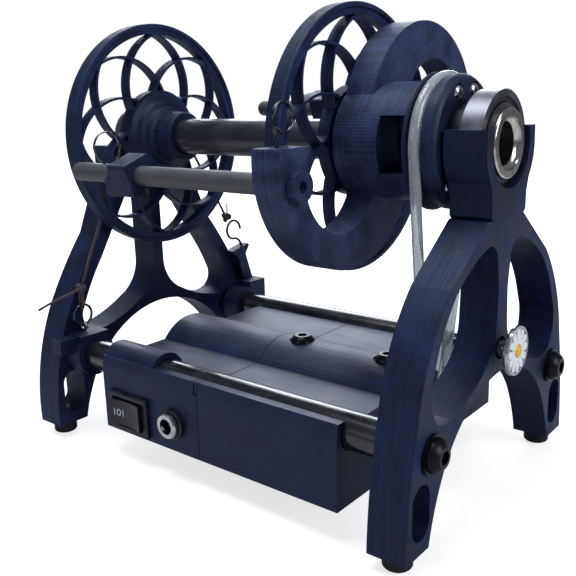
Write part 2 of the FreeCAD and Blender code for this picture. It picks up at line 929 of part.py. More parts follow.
def slider(name, way, middle):
    """A spring clip on a rod with its ledge and its pigtail of wire."""
    lean = 20 if way < 0 else 200
    at = (middle, way * rod_side, spindle + way * rod_drop)
    body = new_body("slider_" + name, at, ((1, 0, 0), lean))
    half = 5.8
    block = [
        (-half + 1, -half),
        (half - 1, -half),
        (half, -half + 1, 1),
        (half, half - 1),
        (half - 1, half, 1),
        (-half + 1, half),
        (-half, half - 1, 1),
        (-half, -half + 1),
    ]
    block[0] = (-half + 1, -half, 1)
    pad(body, "YZ", [block], 9, (0, 0, -4.5))
    ledge = [(-half, -half), (-1.5, -half), (-1.5, -4), (-3.9, 1), (-half, 1)]
    pad(body, "YZ", [ledge], 4, (0, 0, -8.5))
    cut(body, "YZ", [("o", 0, 0, rod_radius + run_gap)], 16, (0, 0, -9))
    cut(body, "YZ", [[(-0.6, -half), (0.6, -half), (0.6, 0), (-0.6, 0)]], 9, (0, 0, -4.5))
    cut(body, "XY", [("o", -6.6, -4.7, 1)], 1.4, (0, 0, -0.2))
    turn = 5.2
    corners = [
        (-4.6, -1.5),
        (-4.6, 3.4),
        (-4.8 - turn, 9.4, -7.2),
        (-4.8, 9.4 + turn, -turn),
        (-4.8 + turn, 9.4, -turn),
        (-4.8 + turn * 0.6, 9.4 - turn * 0.8, -turn),
    ]
    if way > 0:
        corners = [(-u[0], -u[1]) + tuple(u[2:]) for u in corners]
    spot = (middle - 6.6, way * rod_side, spindle + way * rod_drop)
    wire("hook_" + name, "YZ", corners, spot, 0.6)


fixed_eye()
slider("front", -1, size("slider_front_place", -25))
slider("rear", 1, size("slider_rear_place", -18))


# The bobbin


def flange(label, left, way):
    """An openwork bobbin flange: a lipped rim, a hub and sixteen curved strands."""
    body = new_body(label, (left, 0, spindle))
    lip = flange_radius - 1.6
    profile = [
        (0, flange_inner),
        (flange_depth, flange_inner),
        (flange_depth, lip - 0.5),
        (flange_depth + 0.7, lip),
        (flange_depth + 0.7, flange_radius - 0.5),
        (flange_depth + 0.2, flange_radius, 0.5),
        (-0.2, flange_radius),
        (-0.2, lip),
        (0, lip - 0.5),
    ]
    spin(body, [profile])
    spin(body, [ring(core_radius + seat_gap, flange_hub, 0, flange_depth)])
    bend = strand_arc
    side = size(label + "_arc_side", 6.45)
    lift = size(label + "_arc_lift", 19.5)
    thin = strand / 2
    first = strand_curve(body, side, lift, bend, thin, way)
    around(body, [first], 8)
    second = strand_curve(body, side, lift, bend, thin, -way)
    around(body, [second], 8)


def strand_curve(body, side, lift, bend, thin, way):
    """One strand as an arc from inside the rim to inside the hub. The arc's
    centre lies at (side, lift) from the spindle, the other way for way < 0."""
    rim = flange_inner + 1.2
    hub = flange_hub - 1.5
    corners = []
    for radius in (bend + thin, bend - thin):
        corners.append(on_circle(side, lift, radius, rim))
        corners.append(on_circle(side, lift, radius, hub))
    outer_rim, outer_hub, inner_rim, inner_hub = corners
    waist = (side - (bend + thin), lift)
    waist_in = (side - (bend - thin), lift)
    loop = [
        outer_rim,
        waist + ((bend + thin),),
        outer_hub + ((bend + thin),),
        inner_hub,
        waist_in + (-(bend - thin),),
        inner_rim + (-(bend - thin),),
    ]
    if way < 0:
        flipped = []
        for corner in loop:
            flip = (-corner[0], corner[1])
            if len(corner) > 2:
                flip = flip + (-corner[2],)
            flipped.append(flip)
        loop = flipped
    return pad(body, "YZ", [loop], flange_depth)


def on_circle(side, lift, radius, reach):
    """Where the strand's circle meets a circle of the given reach about the
    spindle."""
    gap = root(side * side + lift * lift)
    foot = (reach * reach - radius * radius + gap * gap) / (2 * gap)
    rise = root(reach * reach - foot * foot)
    u = (foot * side - rise * lift) / gap
    v = (foot * lift + rise * side) / gap
    return (u, v)


flange("flange_left", -left_flange, 1)
flange("flange_right", right_flange, 1)


def bobbin_core():
    """The bobbin tube, its left hub sleeve, brake whorl and bushes."""
    level = (0, 0, spindle)
    left = -left_flange - 2.4
    right = right_flange + flange_depth
    body = new_body("bobbin_tube", level)
    spin(body, [ring(core_bore, core_radius, left + 0.2, right - 0.2)])
    body = new_body("hub_sleeve", level)
    face = -left_flange + flange_depth
    bore = core_radius + seat_gap
    profile = [
        (face, bore),
        (face + 14.5, bore),
        (face + 14.5, 9.2),
        (face + 14, 9.7),
        (face + 6, 10.1),
        (face + 5.4, 11.4),
        (face + 3.4, 12.2),
        (face + 2.8, 14),
        (face + 1.2, 15),
        (face, 17.2),
    ]
    spin(body, [profile])
    flute = cut(body, "YZ", [("o", 0, 10.9, 1.1)], 9, (0, 0, face + 6.2))
    around(body, [flute], 14)
    body = new_body("brake_whorl", level)
    middle = -left_flange - 1.2
    profile = [
        (middle - 1.2, bore),
        (middle + 1.2, bore),
        (middle + 1.2, brake_rim),
        (middle + 1, brake_rim),
        (middle + 0.5, brake_groove - 0.35),
        (middle - 0.5, brake_groove - 0.35),
        (middle - 1, brake_rim),
        (middle - 1.2, brake_rim),
    ]
    spin(body, [profile])
    body = new_body("bobbin_bushes", level, group=True)
    for start in (left + 0.2, right - 8.2):
        spin(body, [ring(small_bore, core_bore - seat_gap, start, start + 8)])


bobbin_core()


# The drive box between the frames


def on_rail(level, radius, way):
    """How far from the mid-plane a circle round a rail is at a level."""
    drop = rail_level - level
    return rail_side + way * root(radius * radius - drop * drop)


def shell_outline():
    """The outside of the box across the rails."""
    bed = rail_radius + seat_gap
    foot = root(ridge_radius * ridge_radius - (box_deck - ridge_level) * (box_deck - ridge_level))
    low = rear_lip
    return [
        (-box_front, box_floor),
        (box_rear, box_floor),
        (box_rear, low),
        (on_rail(low, bed, 1), low),
        (rail_side, rail_level - bed, -bed),
        (rail_side - bed, rail_level, -bed),
        (on_rail(box_deck, bed, -1), box_deck, -bed),
        (-motor_side + foot, box_deck),
        (-motor_side, ridge_level + ridge_radius, ridge_radius),
        (-motor_side - foot, box_deck, ridge_radius),
        (-on_rail(box_deck, bed, -1), box_deck),
        (-rail_side + bed, rail_level, -bed),
        (-rail_side, rail_level - bed, -bed),
        (-rail_side - bed, rail_level, -bed),
        (-on_rail(box_lip, bed, 1), box_lip, -bed),
        (-box_front + 1.1, box_lip),
        (-box_front, box_crease, 30),
    ]


def shell_hollow():
    """The inside of the box across the rails, open below."""
    outer = rail_radius + seat_gap + wall
    under = box_deck - wall
    inner = ridge_radius - wall
    foot = root(inner * inner - (under - ridge_level) * (under - ridge_level))
    front = box_front - wall
    rear = box_rear - wall
    front_drop = root(outer * outer - (front - rail_side) * (front - rail_side))
    rear_drop = root(outer * outer - (rear - rail_side) * (rear - rail_side))
    return [
        (-front, box_floor),
        (rear, box_floor),
        (rear, rail_level - rear_drop),
        (rail_side, rail_level - outer, -outer),
        (on_rail(under, outer, -1), under, -outer),
        (-motor_side + foot, under),
        (-motor_side, ridge_level + inner, inner),
        (-motor_side - foot, under, inner),
        (-on_rail(under, outer, -1), under),
        (-rail_side, rail_level - outer, -outer),
        (-front, rail_level - front_drop, -outer),
    ]


def left_shell():
    """The left half of the box: switch, jack and the saddle over the rail."""
    body = new_body("shell_left")
    pad(body, "YZ", [shell_outline()], box_left + box_seam, (0, 0, -box_left))
    bed = rail_radius + seat_gap
    saddle = [("o", -rail_side, rail_level, bed + 2.1), ("o", -rail_side, rail_level, bed)]
    pad(body, "YZ", saddle, 27, (0, 0, -box_left))
    cut(body, "YZ", [shell_hollow()], box_left + box_seam, (0, 0, -box_left + wall))
    jog = [(-box_front - 1, 34.5), (-rail_side, 34.5), (-rail_side, 48), (-box_front - 1, 48)]
    cut(body, "YZ", [jog], 3, (0, 0, -box_seam))
    inside = switch_long / 2 - 1
    height = switch_tall / 2 - 1
    opening = box_loop(-switch_place, switch_level, inside, height)
    cut(body, "XZ", [opening], 10, (0, 0, box_front - 8))
    cut(body, "XZ", [("o", -jack_place, jack_level, 4.3)], 10, (0, 0, box_front - 8))


def box_loop(u, v, half_u, half_v):
    """A rectangle about a centre."""
    return [
        (u - half_u, v - half_v),
        (u + half_u, v - half_v),
        (u + half_u, v + half_v),
        (u - half_u, v + half_v),
    ]


def right_shell():
    """The right half of the box, over the motor, with two screw seats."""
    body = new_body("shell_right")
    pad(body, "YZ", [shell_outline()], box_right - box_seam, (0, 0, box_seam))
    cut(body, "YZ", [shell_hollow()], box_right - box_seam - wall, (0, 0, box_seam))
    tongue = [
        (-box_front, 35),
        (-on_rail(as_size(35), rail_radius + seat_gap, 1), 35),
        (-on_rail(box_lip, rail_radius + seat_gap, 1), box_lip, -(rail_radius + seat_gap)),
        (-box_front + 1.1, box_lip),
    ]
    tongue[0] = (-box_front + 0.55, 35)
    pad(body, "YZ", [tongue], 2 * box_seam - 0.3, (0, 0, -box_seam + 0.3))
    cut(body, "YZ", [("o", -motor_side, motor_level, 3.2)], 8, (0, 0, box_right - 6))
    for spot in screw_spots:
        cut(body, "XY", [("o", spot, -motor_side, 5)], 8, (0, 0, ridge_level + ridge_radius - 0.7))
        cut(body, "XY", [("o", spot, -motor_side, 2.4)], 12, (0, 0, ridge_level + ridge_radius - 8))


screw_spots = (size("screw_first", 11), size("screw_second", 48.4))
left_shell()
right_shell()


def box_details():
    """Floor plate, ridge screws, motor, board, switch and jack."""
    inset = wall + 0.2
    body = new_body("floor_plate")
    plate = [
        (-box_left + inset, -box_front + inset),
        (box_right - inset, -box_front + inset),
        (box_right - inset, box_rear - inset),
        (-box_left + inset, box_rear - inset),
    ]
    pad(body, "XY", [plate], 2, (0, 0, box_floor))
    for x, y in ((-40, 12), (-8, 12), (-40, 32), (-8, 32)):
        pad(body, "XY", [("o", x, y, 2.6)], 5.5, (0, 0, box_floor + 2))
    body = new_body("control_board")
    board = [(-44, 8), (-4, 8), (-4, 36), (-44, 36)]
    pad(body, "XY", [board], 1.6, (0, 0, box_floor + 7.5))
    pad(body, "XY", [box_loop(-24, 22, 8, 6)], 4, (0, 0, box_floor + 9.1))
    pad(body, "XY", [("o", -10, 30, 4)], 9, (0, 0, box_floor + 9.1))
    body = new_body("ridge_screws", (0, -motor_side, ridge_level + ridge_radius - 0.7), ((0, 1, 0), -90), True)
    profile = [
        (-3.2, 0),
        (2.6, 0),
        (2.6, 2.9),
        (0.5, 4.5, 3.8),
        (0, 4.5),
        (0, 2.1),
        (-3.2, 2.1),
    ]
    for spot in screw_spots:
        spin(body, [profile], (0, 0, -spot))
        cut(body, "YZ", [hexagon(as_size(0), -spot, as_size(1.75))], 1.8, (0, 0, 0.9))


def motor():
    """The motor with its front boss, its shaft and its belt pulley."""
    level = (0, -motor_side, motor_level)
    body = new_body("motor", level)
    start = box_right - wall - 4 - motor_length
    end = box_right - wall - 4
    profile = [
        (start, 0),
        (end + 2.4, 0),
        (end + 2.4, 2.9),
        (end, 2.9),
        (end, motor_radius - 1),
        (end - 1, motor_radius, 1),
        (start + 1, motor_radius),
        (start, motor_radius - 1, 1),
    ]
    spin(body, [profile])
    body = new_body("motor_shaft", level)
    spin(body, [disc(1.15, end + 2.7, belt_place + 3.6)])
    body = new_body("motor_pulley", level)
    bend = belt_radius + seat_gap
    lift = 0.7
    half = root(bend * bend - lift * lift)
    profile = [
        (belt_place - half - 1.6, 1.15),
        (belt_place + half + 1.2, 1.15),
        (belt_place + half + 1.2, pulley_run + 1.9),
        (belt_place + half + 0.4, pulley_run + 1.9),
        (belt_place + half, pulley_run - lift),
        (belt_place - half, pulley_run - lift, -bend),
        (belt_place - half - 0.4, pulley_run + 1.9),
        (belt_place - half - 1.6, pulley_run + 1.9),
    ]
    spin(body, [profile])


def belt():
    """The clear round belt over the whorl and the motor pulley."""
    drop = spindle - motor_level
    gap = root(motor_side * motor_side + drop * drop)
    lean = math.atan2(motor_side.value, drop.value)
    turn = math.acos((belt_run.value - pulley_run.value) / gap.value)
    spots = []
    for way in (1, -1):
        angle = -math.pi / 2 - lean + way * turn
        for radius, u, v in ((belt_run.value, 0, spindle.value), (pulley_run.value, -motor_side.value, motor_level.value)):
            spots.append((u + radius * math.cos(angle), v + radius * math.sin(angle)))
    big_right, low_right, big_left, low_left = spots
    run = belt_run.value
    small = pulley_run.value
    corners = [
        big_left,
        low_left,
        (-motor_side.value, motor_level.value - small, small),
        low_right + (small,),
        big_right,
        (0, spindle.value + run, run),
        (-run, spindle.value, run),
    ]
    corners[0] = big_left + (run,)
    body = new_body("drive_belt", (belt_place, 0, 0))
    path = draw(body, "YZ", [corners])
    doc.recompute()
    section = body.newObject("Sketcher::SketchObject", "Section_belt")
    section.AttachmentSupport = [(path, "Edge1")]
    section.MapMode = "NormalToEdge"
    circle = Part.Circle(FreeCAD.Vector(0, 0, 0), FreeCAD.Vector(0, 0, 1), belt_radius.value)
    index = section.addGeometry(circle, False)
    fix(section, "Radius", (index,), belt_radius)
    section.addConstraint(Sketcher.Constraint("Coincident", index, 3, -1, 1))
    sweep = body.newObject("PartDesign::AdditivePipe", "Belt")
    sweep.Profile = section
    sweep.Spine = (path, ["Edge%d" % (number + 1) for number in range(len(path.Shape.Edges))])


def switch_and_jack():
    """The rocker switch with its bezel, and the power jack with its nut."""
    long = switch_long / 2
    tall = switch_tall / 2
    body = new_body("switch_housing")
    face = box_front
    outer = box_loop(-switch_place, switch_level, long, tall)
    pad(body, "XZ", [outer], 1.8, (0, 0, face))
    inner = box_loop(-switch_place, switch_level, long - 1.3, tall - 1.3)
    pad(body, "XZ", [inner], 15, (0, 0, face - 15))
    well = box_loop(-switch_place, switch_level, long - 2.2, tall - 2.2)
    cut(body, "XZ", [well], 9, (0, 0, face - 7))
    round_edges(body, lambda e: near(e.BoundBox.YMin, -box_front.value - 1.8) and e.Length > 14, 0.5, "Chamfer")
    body = new_body("rocker_button", (-switch_place, -face, switch_level))
    half = long - 2.6
    profile = [
        (-half, -3.3),
        (0, -2.1, -30),
        (half, -3.3, -30),
        (half - 0.6, 2.5),
        (2, 5.5),
        (-2, 5.5),
        (-half + 0.6, 2.5),
    ]
    pad(body, "XY", [profile], 2 * tall - 5.2, (0, 0, -tall + 2.6))
    pad(body, "XY", [("o", 0, 0, 0.9)], 2 * tall - 4.6, (0, 0, -tall + 2.3))
    body = new_body("jack_body", (-jack_place, -face, jack_level), ((0, 0, 1), -90))
    profile = [
        (-9, 0),
        (1.6, 0),
        (1.6, 0.6),
        (1.2, 1),
        (-7, 1),
        (-7, 2.9),
        (3.8, 2.9),
        (3.8, 4.3),
        (3.3, 4.7),
        (2.2, 4.7),
        (2.2, 4),
        (-9, 4),
    ]
    spin(body, [profile])
    body = new_body("jack_nut", (-jack_place, -face, jack_level), ((0, 0, 1), -90))
    spin(body, [[(0, 4.3), (1.9, 4.3), (1.9, 5.2), (1.4, 5.75), (0, 5.75)]])


def speed_knob():
    """The speed control in the post and its flower knob."""
    level = (half_span, 0, knob_level)
    body = new_body("speed_control", level)
    spin(body, [[(-frame_thick + 1, 0), (-5.6, 0), (-5.6, 1.9), (-5.3, 1.9), (-5.3, 5), (-frame_thick + 1, 5)]])
    body = new_body("knob_shaft", level)
    spin(body, [disc(3, -5.2, 3.2)])
    body = new_body("knob_cap", level)
    profile = [
        (3.2, 0),
        (3.2, 6.2),
        (4.2, knob_radius - 0.2, 1.9),
        (4.9, knob_radius),
        (5.7, knob_radius - 0.25, 1),
        (5.7, knob_radius - 0.75),
        (5.2, knob_radius - 0.75),
        (5.2, 0),
    ]
    profile[2] = (4.2, knob_radius - 0.2)
    profile[4] = (5.7, knob_radius - 0.25)
    spin(body, [profile])
    body = new_body("knob_petals", level)
    petal = [
        (0.6, 2.4),
        (1.22, 5.9, 14),
        (0, 7.12, 1.35),
        (-1.22, 5.9, 1.35),
        (-0.6, 2.4, 14),
    ]
    spin(body, [disc(2.9, 5.2, 5.75)])
    one = pad(body, "YZ", [petal], 0.55, (0, 0, 5.2))
    around(body, [one], 12)
    body = new_body("knob_centre", level)
    spin(body, [[(5.75, 0), (6.6, 0), (6.2, 1.9, 4), (5.75, 2.3)]])


box_details()
motor()
belt()
switch_and_jack()
speed_knob()


# The bobbin brake


def tension_arm():
    """The arm on the rear rail whose post pulls the brake cord."""
    body = new_body("tension_arm", (clamp_left, rail_side, rail_level))
    ring_radius = rail_radius + 2.6
    pad(body, "YZ", [("o", 0, 0, ring_radius)], 9)
    pad(body, "YZ", [[(2, -2), (12.5, -2), (12.5, 11), (2, 11)]], 9)
    post = [
        (5, 9.5),
        (11, 10.5),
        (6.6, 23.6),
        (9.4, 27.6),
        (8.4, 28.4),
        (-2.2, 26),
        (-2, 24.6),
        (1.4, 22.6),
    ]
    pad(body, "YZ", [post], 5, (0, 0, -2.5))
    cut(body, "YZ", [("o", 0, 0, rail_radius + run_gap)], 9)
    cut(body, "XY", [("o", 0, 6.2, 0.9)], 4, (0, 0, 26))


def brake_clamp():
    """The clamp on the front rail with its stub and small screw eye."""
    body = new_body("brake_clamp", (clamp_left - 2.5, -rail_side, rail_level))
    pad(body, "YZ", [("o", 0, 0, rail_radius + 2.6)], 9)
    pad(body, "YZ", [[(-6.5, 0), (6.5, 0), (6.5, 8.6), (-6.5, 8.6)]], 9)
    pad(body, "YZ", [[(-14.5, 2.2), (-6, 2.2), (-6, 8), (-14.5, 8)]], 6)
    cut(body, "YZ", [("o", 0, 0, rail_radius + run_gap)], 9)
    cut(body, "XY", [("o", 2, 0, 0.85)], 3, (0, 0, 6.3))
    body = new_body("screw_eye", (clamp_left - 0.5, -rail_side, rail_level))
    eye = body.newObject("PartDesign::AdditiveTorus", "Eye")
    eye.Radius1 = 1.7
    eye.Radius2 = 0.5
    eye.AttachmentSupport = (plane_of(body, "XZ"), [""])
    eye.MapMode = "FlatFace"
    eye.AttachmentOffset = FreeCAD.Placement(FreeCAD.Vector(0, 10.9, 0), FreeCAD.Rotation())
    pad(body, "XY", [("o", 0, 0, 0.55)], 2.6, (0, 0, 6.8))
    body = new_body("split_ring", (clamp_left - 0.5, -rail_side, rail_level + 15.3))
    spin(body, [("o", 0, 4.2, 0.5)])


clamp_left = size("clamp_left", -71)
tension_arm()
brake_clamp()


def cord_run(edges, radius):
    """A round cord along edges, with its volume tested against its length."""
    start = edges[0].valueAt(edges[0].FirstParameter)
    heading = edges[0].tangentAt(edges[0].FirstParameter)
    circle = Part.Circle(start, heading, radius)
    solid = Part.Wire(edges).makePipeShell([Part.Wire([circle.toShape()])], True, False)
    length = sum(edge.Length for edge in edges)
    share = solid.Volume / (math.pi * radius * radius * length)
    print("cord run of %.1f mm, volume over section x length %.3f" % (length, share))
    if abs(share - 1) > 0.02:
        raise RuntimeError("a cord run folds over itself")
    return solid


def rounded(points):
    """Straight runs between points, joined by tangent arcs. The radius is
    0.45 of the shorter run over the tangent of half the turn."""
    edges = []
    radii = []
    start = points[0]
    for number in range(1, len(points) - 1):
        corner = points[number]
        before = corner - points[number - 1]
        after = points[number + 1] - corner
        half = before.getAngle(after) / 2
        back = 0.45 * min(before.Length, after.Length)
        radius = back / math.tan(half)
        before.normalize()
        after.normalize()
        inward = (after - before).normalize()
        first = corner - before * back
        last = corner + after * back
        middle = corner + inward * (radius / math.cos(half) - radius)
        edges.append(Part.LineSegment(start, first).toShape())
        edges.append(Part.Arc(first, middle, last).toShape())
        radii.append(round(radius, 2))
        start = last
    edges.append(Part.LineSegment(start, points[-1]).toShape())
    print("bend radii", radii)
    return edges


def brake_cord():
    """The cord from the split ring, over the brake whorl, to the S-hook."""
    x = -left_flange.value - 1.2
    level = spindle.value
    turn = brake_groove.value + cord_radius.value
    front = FreeCAD.Vector(x, -43.6, 60.6)
    rear = FreeCAD.Vector(x, 42, 77)
    touch = []
    for point, side in ((front, -1), (rear, 1)):
        away = FreeCAD.Vector(0, point.y, point.z - level)
        angle = math.atan2(away.z, away.y) + side * math.acos(turn / away.Length)
        touch.append(FreeCAD.Vector(x, turn * math.cos(angle), level + turn * math.sin(angle)))
    crest = FreeCAD.Vector(x, 0, level + turn)
    main = [
        Part.LineSegment(front, touch[0]).toShape(),
        Part.Arc(touch[0], crest, touch[1]).toShape(),
        Part.LineSegment(touch[1], rear).toShape(),
    ]
    ring_x = clamp_left.value - 0.5
    ring_y = -rail_side.value
    loop = rounded([
        FreeCAD.Vector(ring_x - 0.6, ring_y, 60.4),
        FreeCAD.Vector(ring_x - 1.55, ring_y, 52.35),
        FreeCAD.Vector(ring_x + 1.55, ring_y, 52.35),
        FreeCAD.Vector(ring_x + 0.6, ring_y, 60.4),
    ])
    tail = rounded([
        FreeCAD.Vector(x, -44, 60.4),
        FreeCAD.Vector(x, -50, 59),
        FreeCAD.Vector(x + 0.6, -57.5, 58.2),
        FreeCAD.Vector(x + 0.4, -64.1, 56.2),
    ])
    end = rounded([
        rear,
        FreeCAD.Vector(x, 43.2, 80),
        FreeCAD.Vector(x, 42.8, 83.5),
    ])
    radius = cord_radius.value
    pieces = [
        cord_run(main, radius),
        cord_run(loop, radius),
        cord_run(tail, radius * 0.8),
        cord_run(end, radius * 0.6),
        Part.makeSphere(1.9, FreeCAD.Vector(x, -44, 60.6)),
        Part.makeSphere(2.3, rear),
    ]
    whole = pieces[0]
    for piece in pieces[1:]:
        whole = whole.fuse(piece)
    feature = doc.addObject("Part::Feature", "Cord")
    feature.Shape = whole.removeSplitter()
    feature.Placement = FreeCAD.Placement()
    feature.Label = "brake_cord"
    bodies.append(feature)


cord_radius = size("cord_radius", 0.6)
brake_cord()


def s_hook():
    """The bent wire hook between the rear knot and the tension arm."""
    corners = [
        (50.3, 70.2),
        (45.6, 74.9, 4.75),
        (41.2, 71.2, 4.6),
        (45.4, 66.2, 4.18),
        (50.6, 60.6, -5.11),
    ]
    wire("s_hook", "YZ", corners, (clamp_left, 0, 0), 0.6)


s_hook()
doc.recompute()

failed = False
for body, feature in cuts:
    if feature.Shape.Volume > feature.BaseFeature.Shape.Volume - 1e-3:
        print("takes nothing away:", body.Label, feature.Label)
        failed = True
for item in doc.Objects:
    if "Invalid" in item.State or "Error" in item.State:
        print("invalid:", item.Label, item.Name, item.State)
        failed = True
for body in bodies:
    shape = body.Shape
    if shape.isNull() or not shape.isValid():
        print("bad shape:", body.Label)
        failed = True
        continue
    if body.Label in single and len(shape.Solids) != 1:
        print("not one solid:", body.Label, len(shape.Solids))
        failed = True
    print("%-24s solids %d  volume %10.1f" % (body.Label, len(shape.Solids), shape.Volume))
    shape.exportStep("parts/%s.step" % body.Label)
if failed:
    raise SystemExit(1)
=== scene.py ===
import math

import bmesh
import bpy
import numpy as np
from mathutils import Matrix, Vector


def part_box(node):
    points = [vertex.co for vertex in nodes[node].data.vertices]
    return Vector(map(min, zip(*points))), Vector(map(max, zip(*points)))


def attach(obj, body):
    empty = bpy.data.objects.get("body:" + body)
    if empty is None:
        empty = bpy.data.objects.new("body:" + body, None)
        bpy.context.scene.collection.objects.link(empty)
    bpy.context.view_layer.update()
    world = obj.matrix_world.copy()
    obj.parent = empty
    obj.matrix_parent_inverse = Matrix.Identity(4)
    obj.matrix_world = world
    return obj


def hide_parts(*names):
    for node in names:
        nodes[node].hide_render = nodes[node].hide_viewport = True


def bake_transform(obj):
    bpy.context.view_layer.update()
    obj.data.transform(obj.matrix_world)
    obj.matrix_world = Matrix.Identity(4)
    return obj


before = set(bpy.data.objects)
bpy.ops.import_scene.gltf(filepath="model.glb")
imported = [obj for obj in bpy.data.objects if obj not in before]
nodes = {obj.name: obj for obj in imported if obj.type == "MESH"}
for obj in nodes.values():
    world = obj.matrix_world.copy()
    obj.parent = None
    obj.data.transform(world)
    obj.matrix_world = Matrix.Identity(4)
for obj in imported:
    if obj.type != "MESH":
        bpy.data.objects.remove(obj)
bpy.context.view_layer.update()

MM = 0.001


# Camera

def place_camera():
    """The photograph's camera: its place, its level and its lens."""
    data = bpy.data.cameras.new("camera")
    data.sensor_width = 36
    data.lens = 48.35
    camera = bpy.data.objects.new("camera", data)
    right = Vector((0.7768, 0.6292, -0.0281)).normalized()
    up = Vector((-0.1359, 0.2110, 0.9680))
    up = (up - right * up.dot(right)).normalized()
    back = right.cross(up)
    turn = Matrix((right, up, back)).transposed().to_4x4()
    camera.matrix_world = Matrix.Translation((0.18366, -0.22388, 0.13573)) @ turn
    bpy.context.scene.collection.objects.link(camera)
    bpy.context.scene.camera = camera


place_camera()


# Shader maths

class Tone:
    """A socket of a material. Sums and products of tones are Math nodes."""

    def __init__(self, paint, socket):
        self.paint = paint
        self.socket = socket

    def __add__(self, other):
        return self.paint.maths("ADD", self, other)

    def __sub__(self, other):
        return self.paint.maths("SUBTRACT", self, other)

    def __rsub__(self, other):
        return self.paint.maths("SUBTRACT", other, self)

    def __mul__(self, other):
        return self.paint.maths("MULTIPLY", self, other)

    __radd__ = __add__
    __rmul__ = __mul__


class Paint:
    """One material: its node tree and its principled shader."""

    def __init__(self, name, **uniform):
        self.material = bpy.data.materials.new(name)
        self.material.use_nodes = True
        self.tree = self.material.node_tree
        self.shader = self.tree.nodes["Principled BSDF"]
        for key, value in uniform.items():
            self.shader.inputs[key.replace("_", " ")].default_value = value
        self.place = self.node("ShaderNodeTexCoord", out="Object")

    def node(self, kind, settings=None, links=None, out=0):
        """Any node: its settings, then its input values or links."""
        made = self.tree.nodes.new(kind)
        for key, value in (settings or {}).items():
            setattr(made, key, value)
        for key, value in (links or {}).items():
            self.feed(made.inputs[key], value)
        return Tone(self, made.outputs[out])

    def feed(self, socket, value):
        if isinstance(value, Tone):
            self.tree.links.new(value.socket, socket)
        else:
            socket.default_value = value

    def maths(self, operation, *values):
        links = dict(enumerate(values))
        return self.node("ShaderNodeMath", {"operation": operation}, links)

    def stretch(self, steps_mm, shift=(0, 0, 0)):
        """Object coordinates in steps of the given lengths in mm."""
        scale = tuple(1 / (step * MM) for step in steps_mm)
        links = {"Location": shift, "Scale": scale, "Vector": self.place}
        return self.node("ShaderNodeMapping", {}, links)

    def noise(self, steps_mm, detail=2.0, shift=(0, 0, 0)):
        """Noise from 0 to 1 with features of the given lengths in mm."""
        links = {"Vector": self.stretch(steps_mm, shift), "Scale": 1.0, "Detail": detail}
        return self.node("ShaderNodeTexNoise", {}, links)

    def waves(self, axis, pitch_mm):
        """Rounded ridges along an axis: 0.5 + 0.5 sin(2 pi place / pitch)."""
        parts = self.node("ShaderNodeSeparateXYZ", {}, {0: self.place}, out="XYZ".index(axis))
        return self.maths("SINE", parts * (2 * math.pi / (pitch_mm * MM))) * 0.5 + 0.5

    def vector(self, operation, *values, out=0):
        links = dict(enumerate(values))
        return self.node("ShaderNodeVectorMath", {"operation": operation}, links, out)

    def away_from_axis(self, y, z):
        """The distance, in metres, from the X-way line through (y, z) mm."""
        flat = self.vector("SUBTRACT", self.place, (0, y * MM, z * MM))
        flat = self.vector("MULTIPLY", flat, (0, 1, 1))
        return self.vector("LENGTH", flat, out="Value")

    def waves_round(self, centres_mm, pitch_mm):
        """Ridges round the nearest of some (y, z) centres, across the X axis."""
        nearest = None
        for y, z in centres_mm:
            far = self.away_from_axis(y, z)
            nearest = far if nearest is None else self.maths("MINIMUM", nearest, far)
        return self.maths("SINE", nearest * (2 * math.pi / (pitch_mm * MM))) * 0.5 + 0.5

    def level(self, value, low, high):
        """The value's share of the way from low to high, kept within 0 and 1."""
        links = {"Value": value, "From Min": low, "From Max": high}
        return self.node("ShaderNodeMapRange", {"clamp": True}, links)

    def between(self, share, first, second):
        """A colour that is share of the way from the first to the second."""
        settings = {"data_type": "RGBA"}
        return self.node("ShaderNodeMix", settings, {0: share, 6: first, 7: second}, out=2)

    def bump(self, height, depth_mm, strength=1.0):
        links = {"Height": height, "Distance": depth_mm * MM, "Strength": strength}
        self.feed(self.shader.inputs["Normal"], self.node("ShaderNodeBump", {}, links))

    def wear(self, **varying):
        """Links of what changes over the surface."""
        for key, value in varying.items():
            self.feed(self.shader.inputs[key.replace("_", " ")], value)


def rgb(red, green, blue):
    """A colour written as the eye sees it, 0 to 255, as linear light."""
    def linear(part):
        part = part / 255
        return part / 12.92 if part < 0.04045 else ((part + 0.055) / 1.055) ** 2.4
    return (linear(red), linear(green), linear(blue), 1)


# Finishes

BLUISH = (0.6, 0.72, 1, 1)


def printed(name, axis, dark=(4, 7, 26), light=(25, 34, 74), shine=0.42, rings=()):
    """Dark navy print: layers stacked along an axis, each a little lighter or
    darker than its neighbours, over soft blotches and a fine grain. Around
    each (y, z) in rings, in mm, the nozzle's path shows as faint circles."""
    paint = Paint(name, Specular_IOR_Level=0.4, Specular_Tint=BLUISH)
    thin = [24.0, 24.0, 24.0]
    thin["XYZ".index(axis)] = 0.3
    layer = paint.level(paint.noise(thin, 3), 0.3, 0.7)
    blotch = paint.level(paint.noise((9, 9, 9), 4, (3, 7, 1)), 0.36, 0.68)
    grain = paint.level(paint.noise((0.35, 0.35, 0.35), 3), 0.3, 0.7)
    line = paint.waves(axis, 0.42)
    share = layer * 0.34 + blotch * 0.3 + grain * 0.36
    height = line * 0.5 + layer * 0.6 + grain * 0.7
    if rings:
        trace = paint.waves_round(rings, 0.9)
        share = share * 0.86 + trace * 0.14
        height = height + trace * 0.5
    colour = paint.between(paint.level(share, 0.28, 0.74), rgb(*dark), rgb(*light))
    rough = shine + 0.16 * blotch + 0.14 * grain - 0.08 * layer
    paint.wear(Base_Color=colour, Roughness=rough)
    paint.bump(height, 0.06, 0.8)
    return paint.material


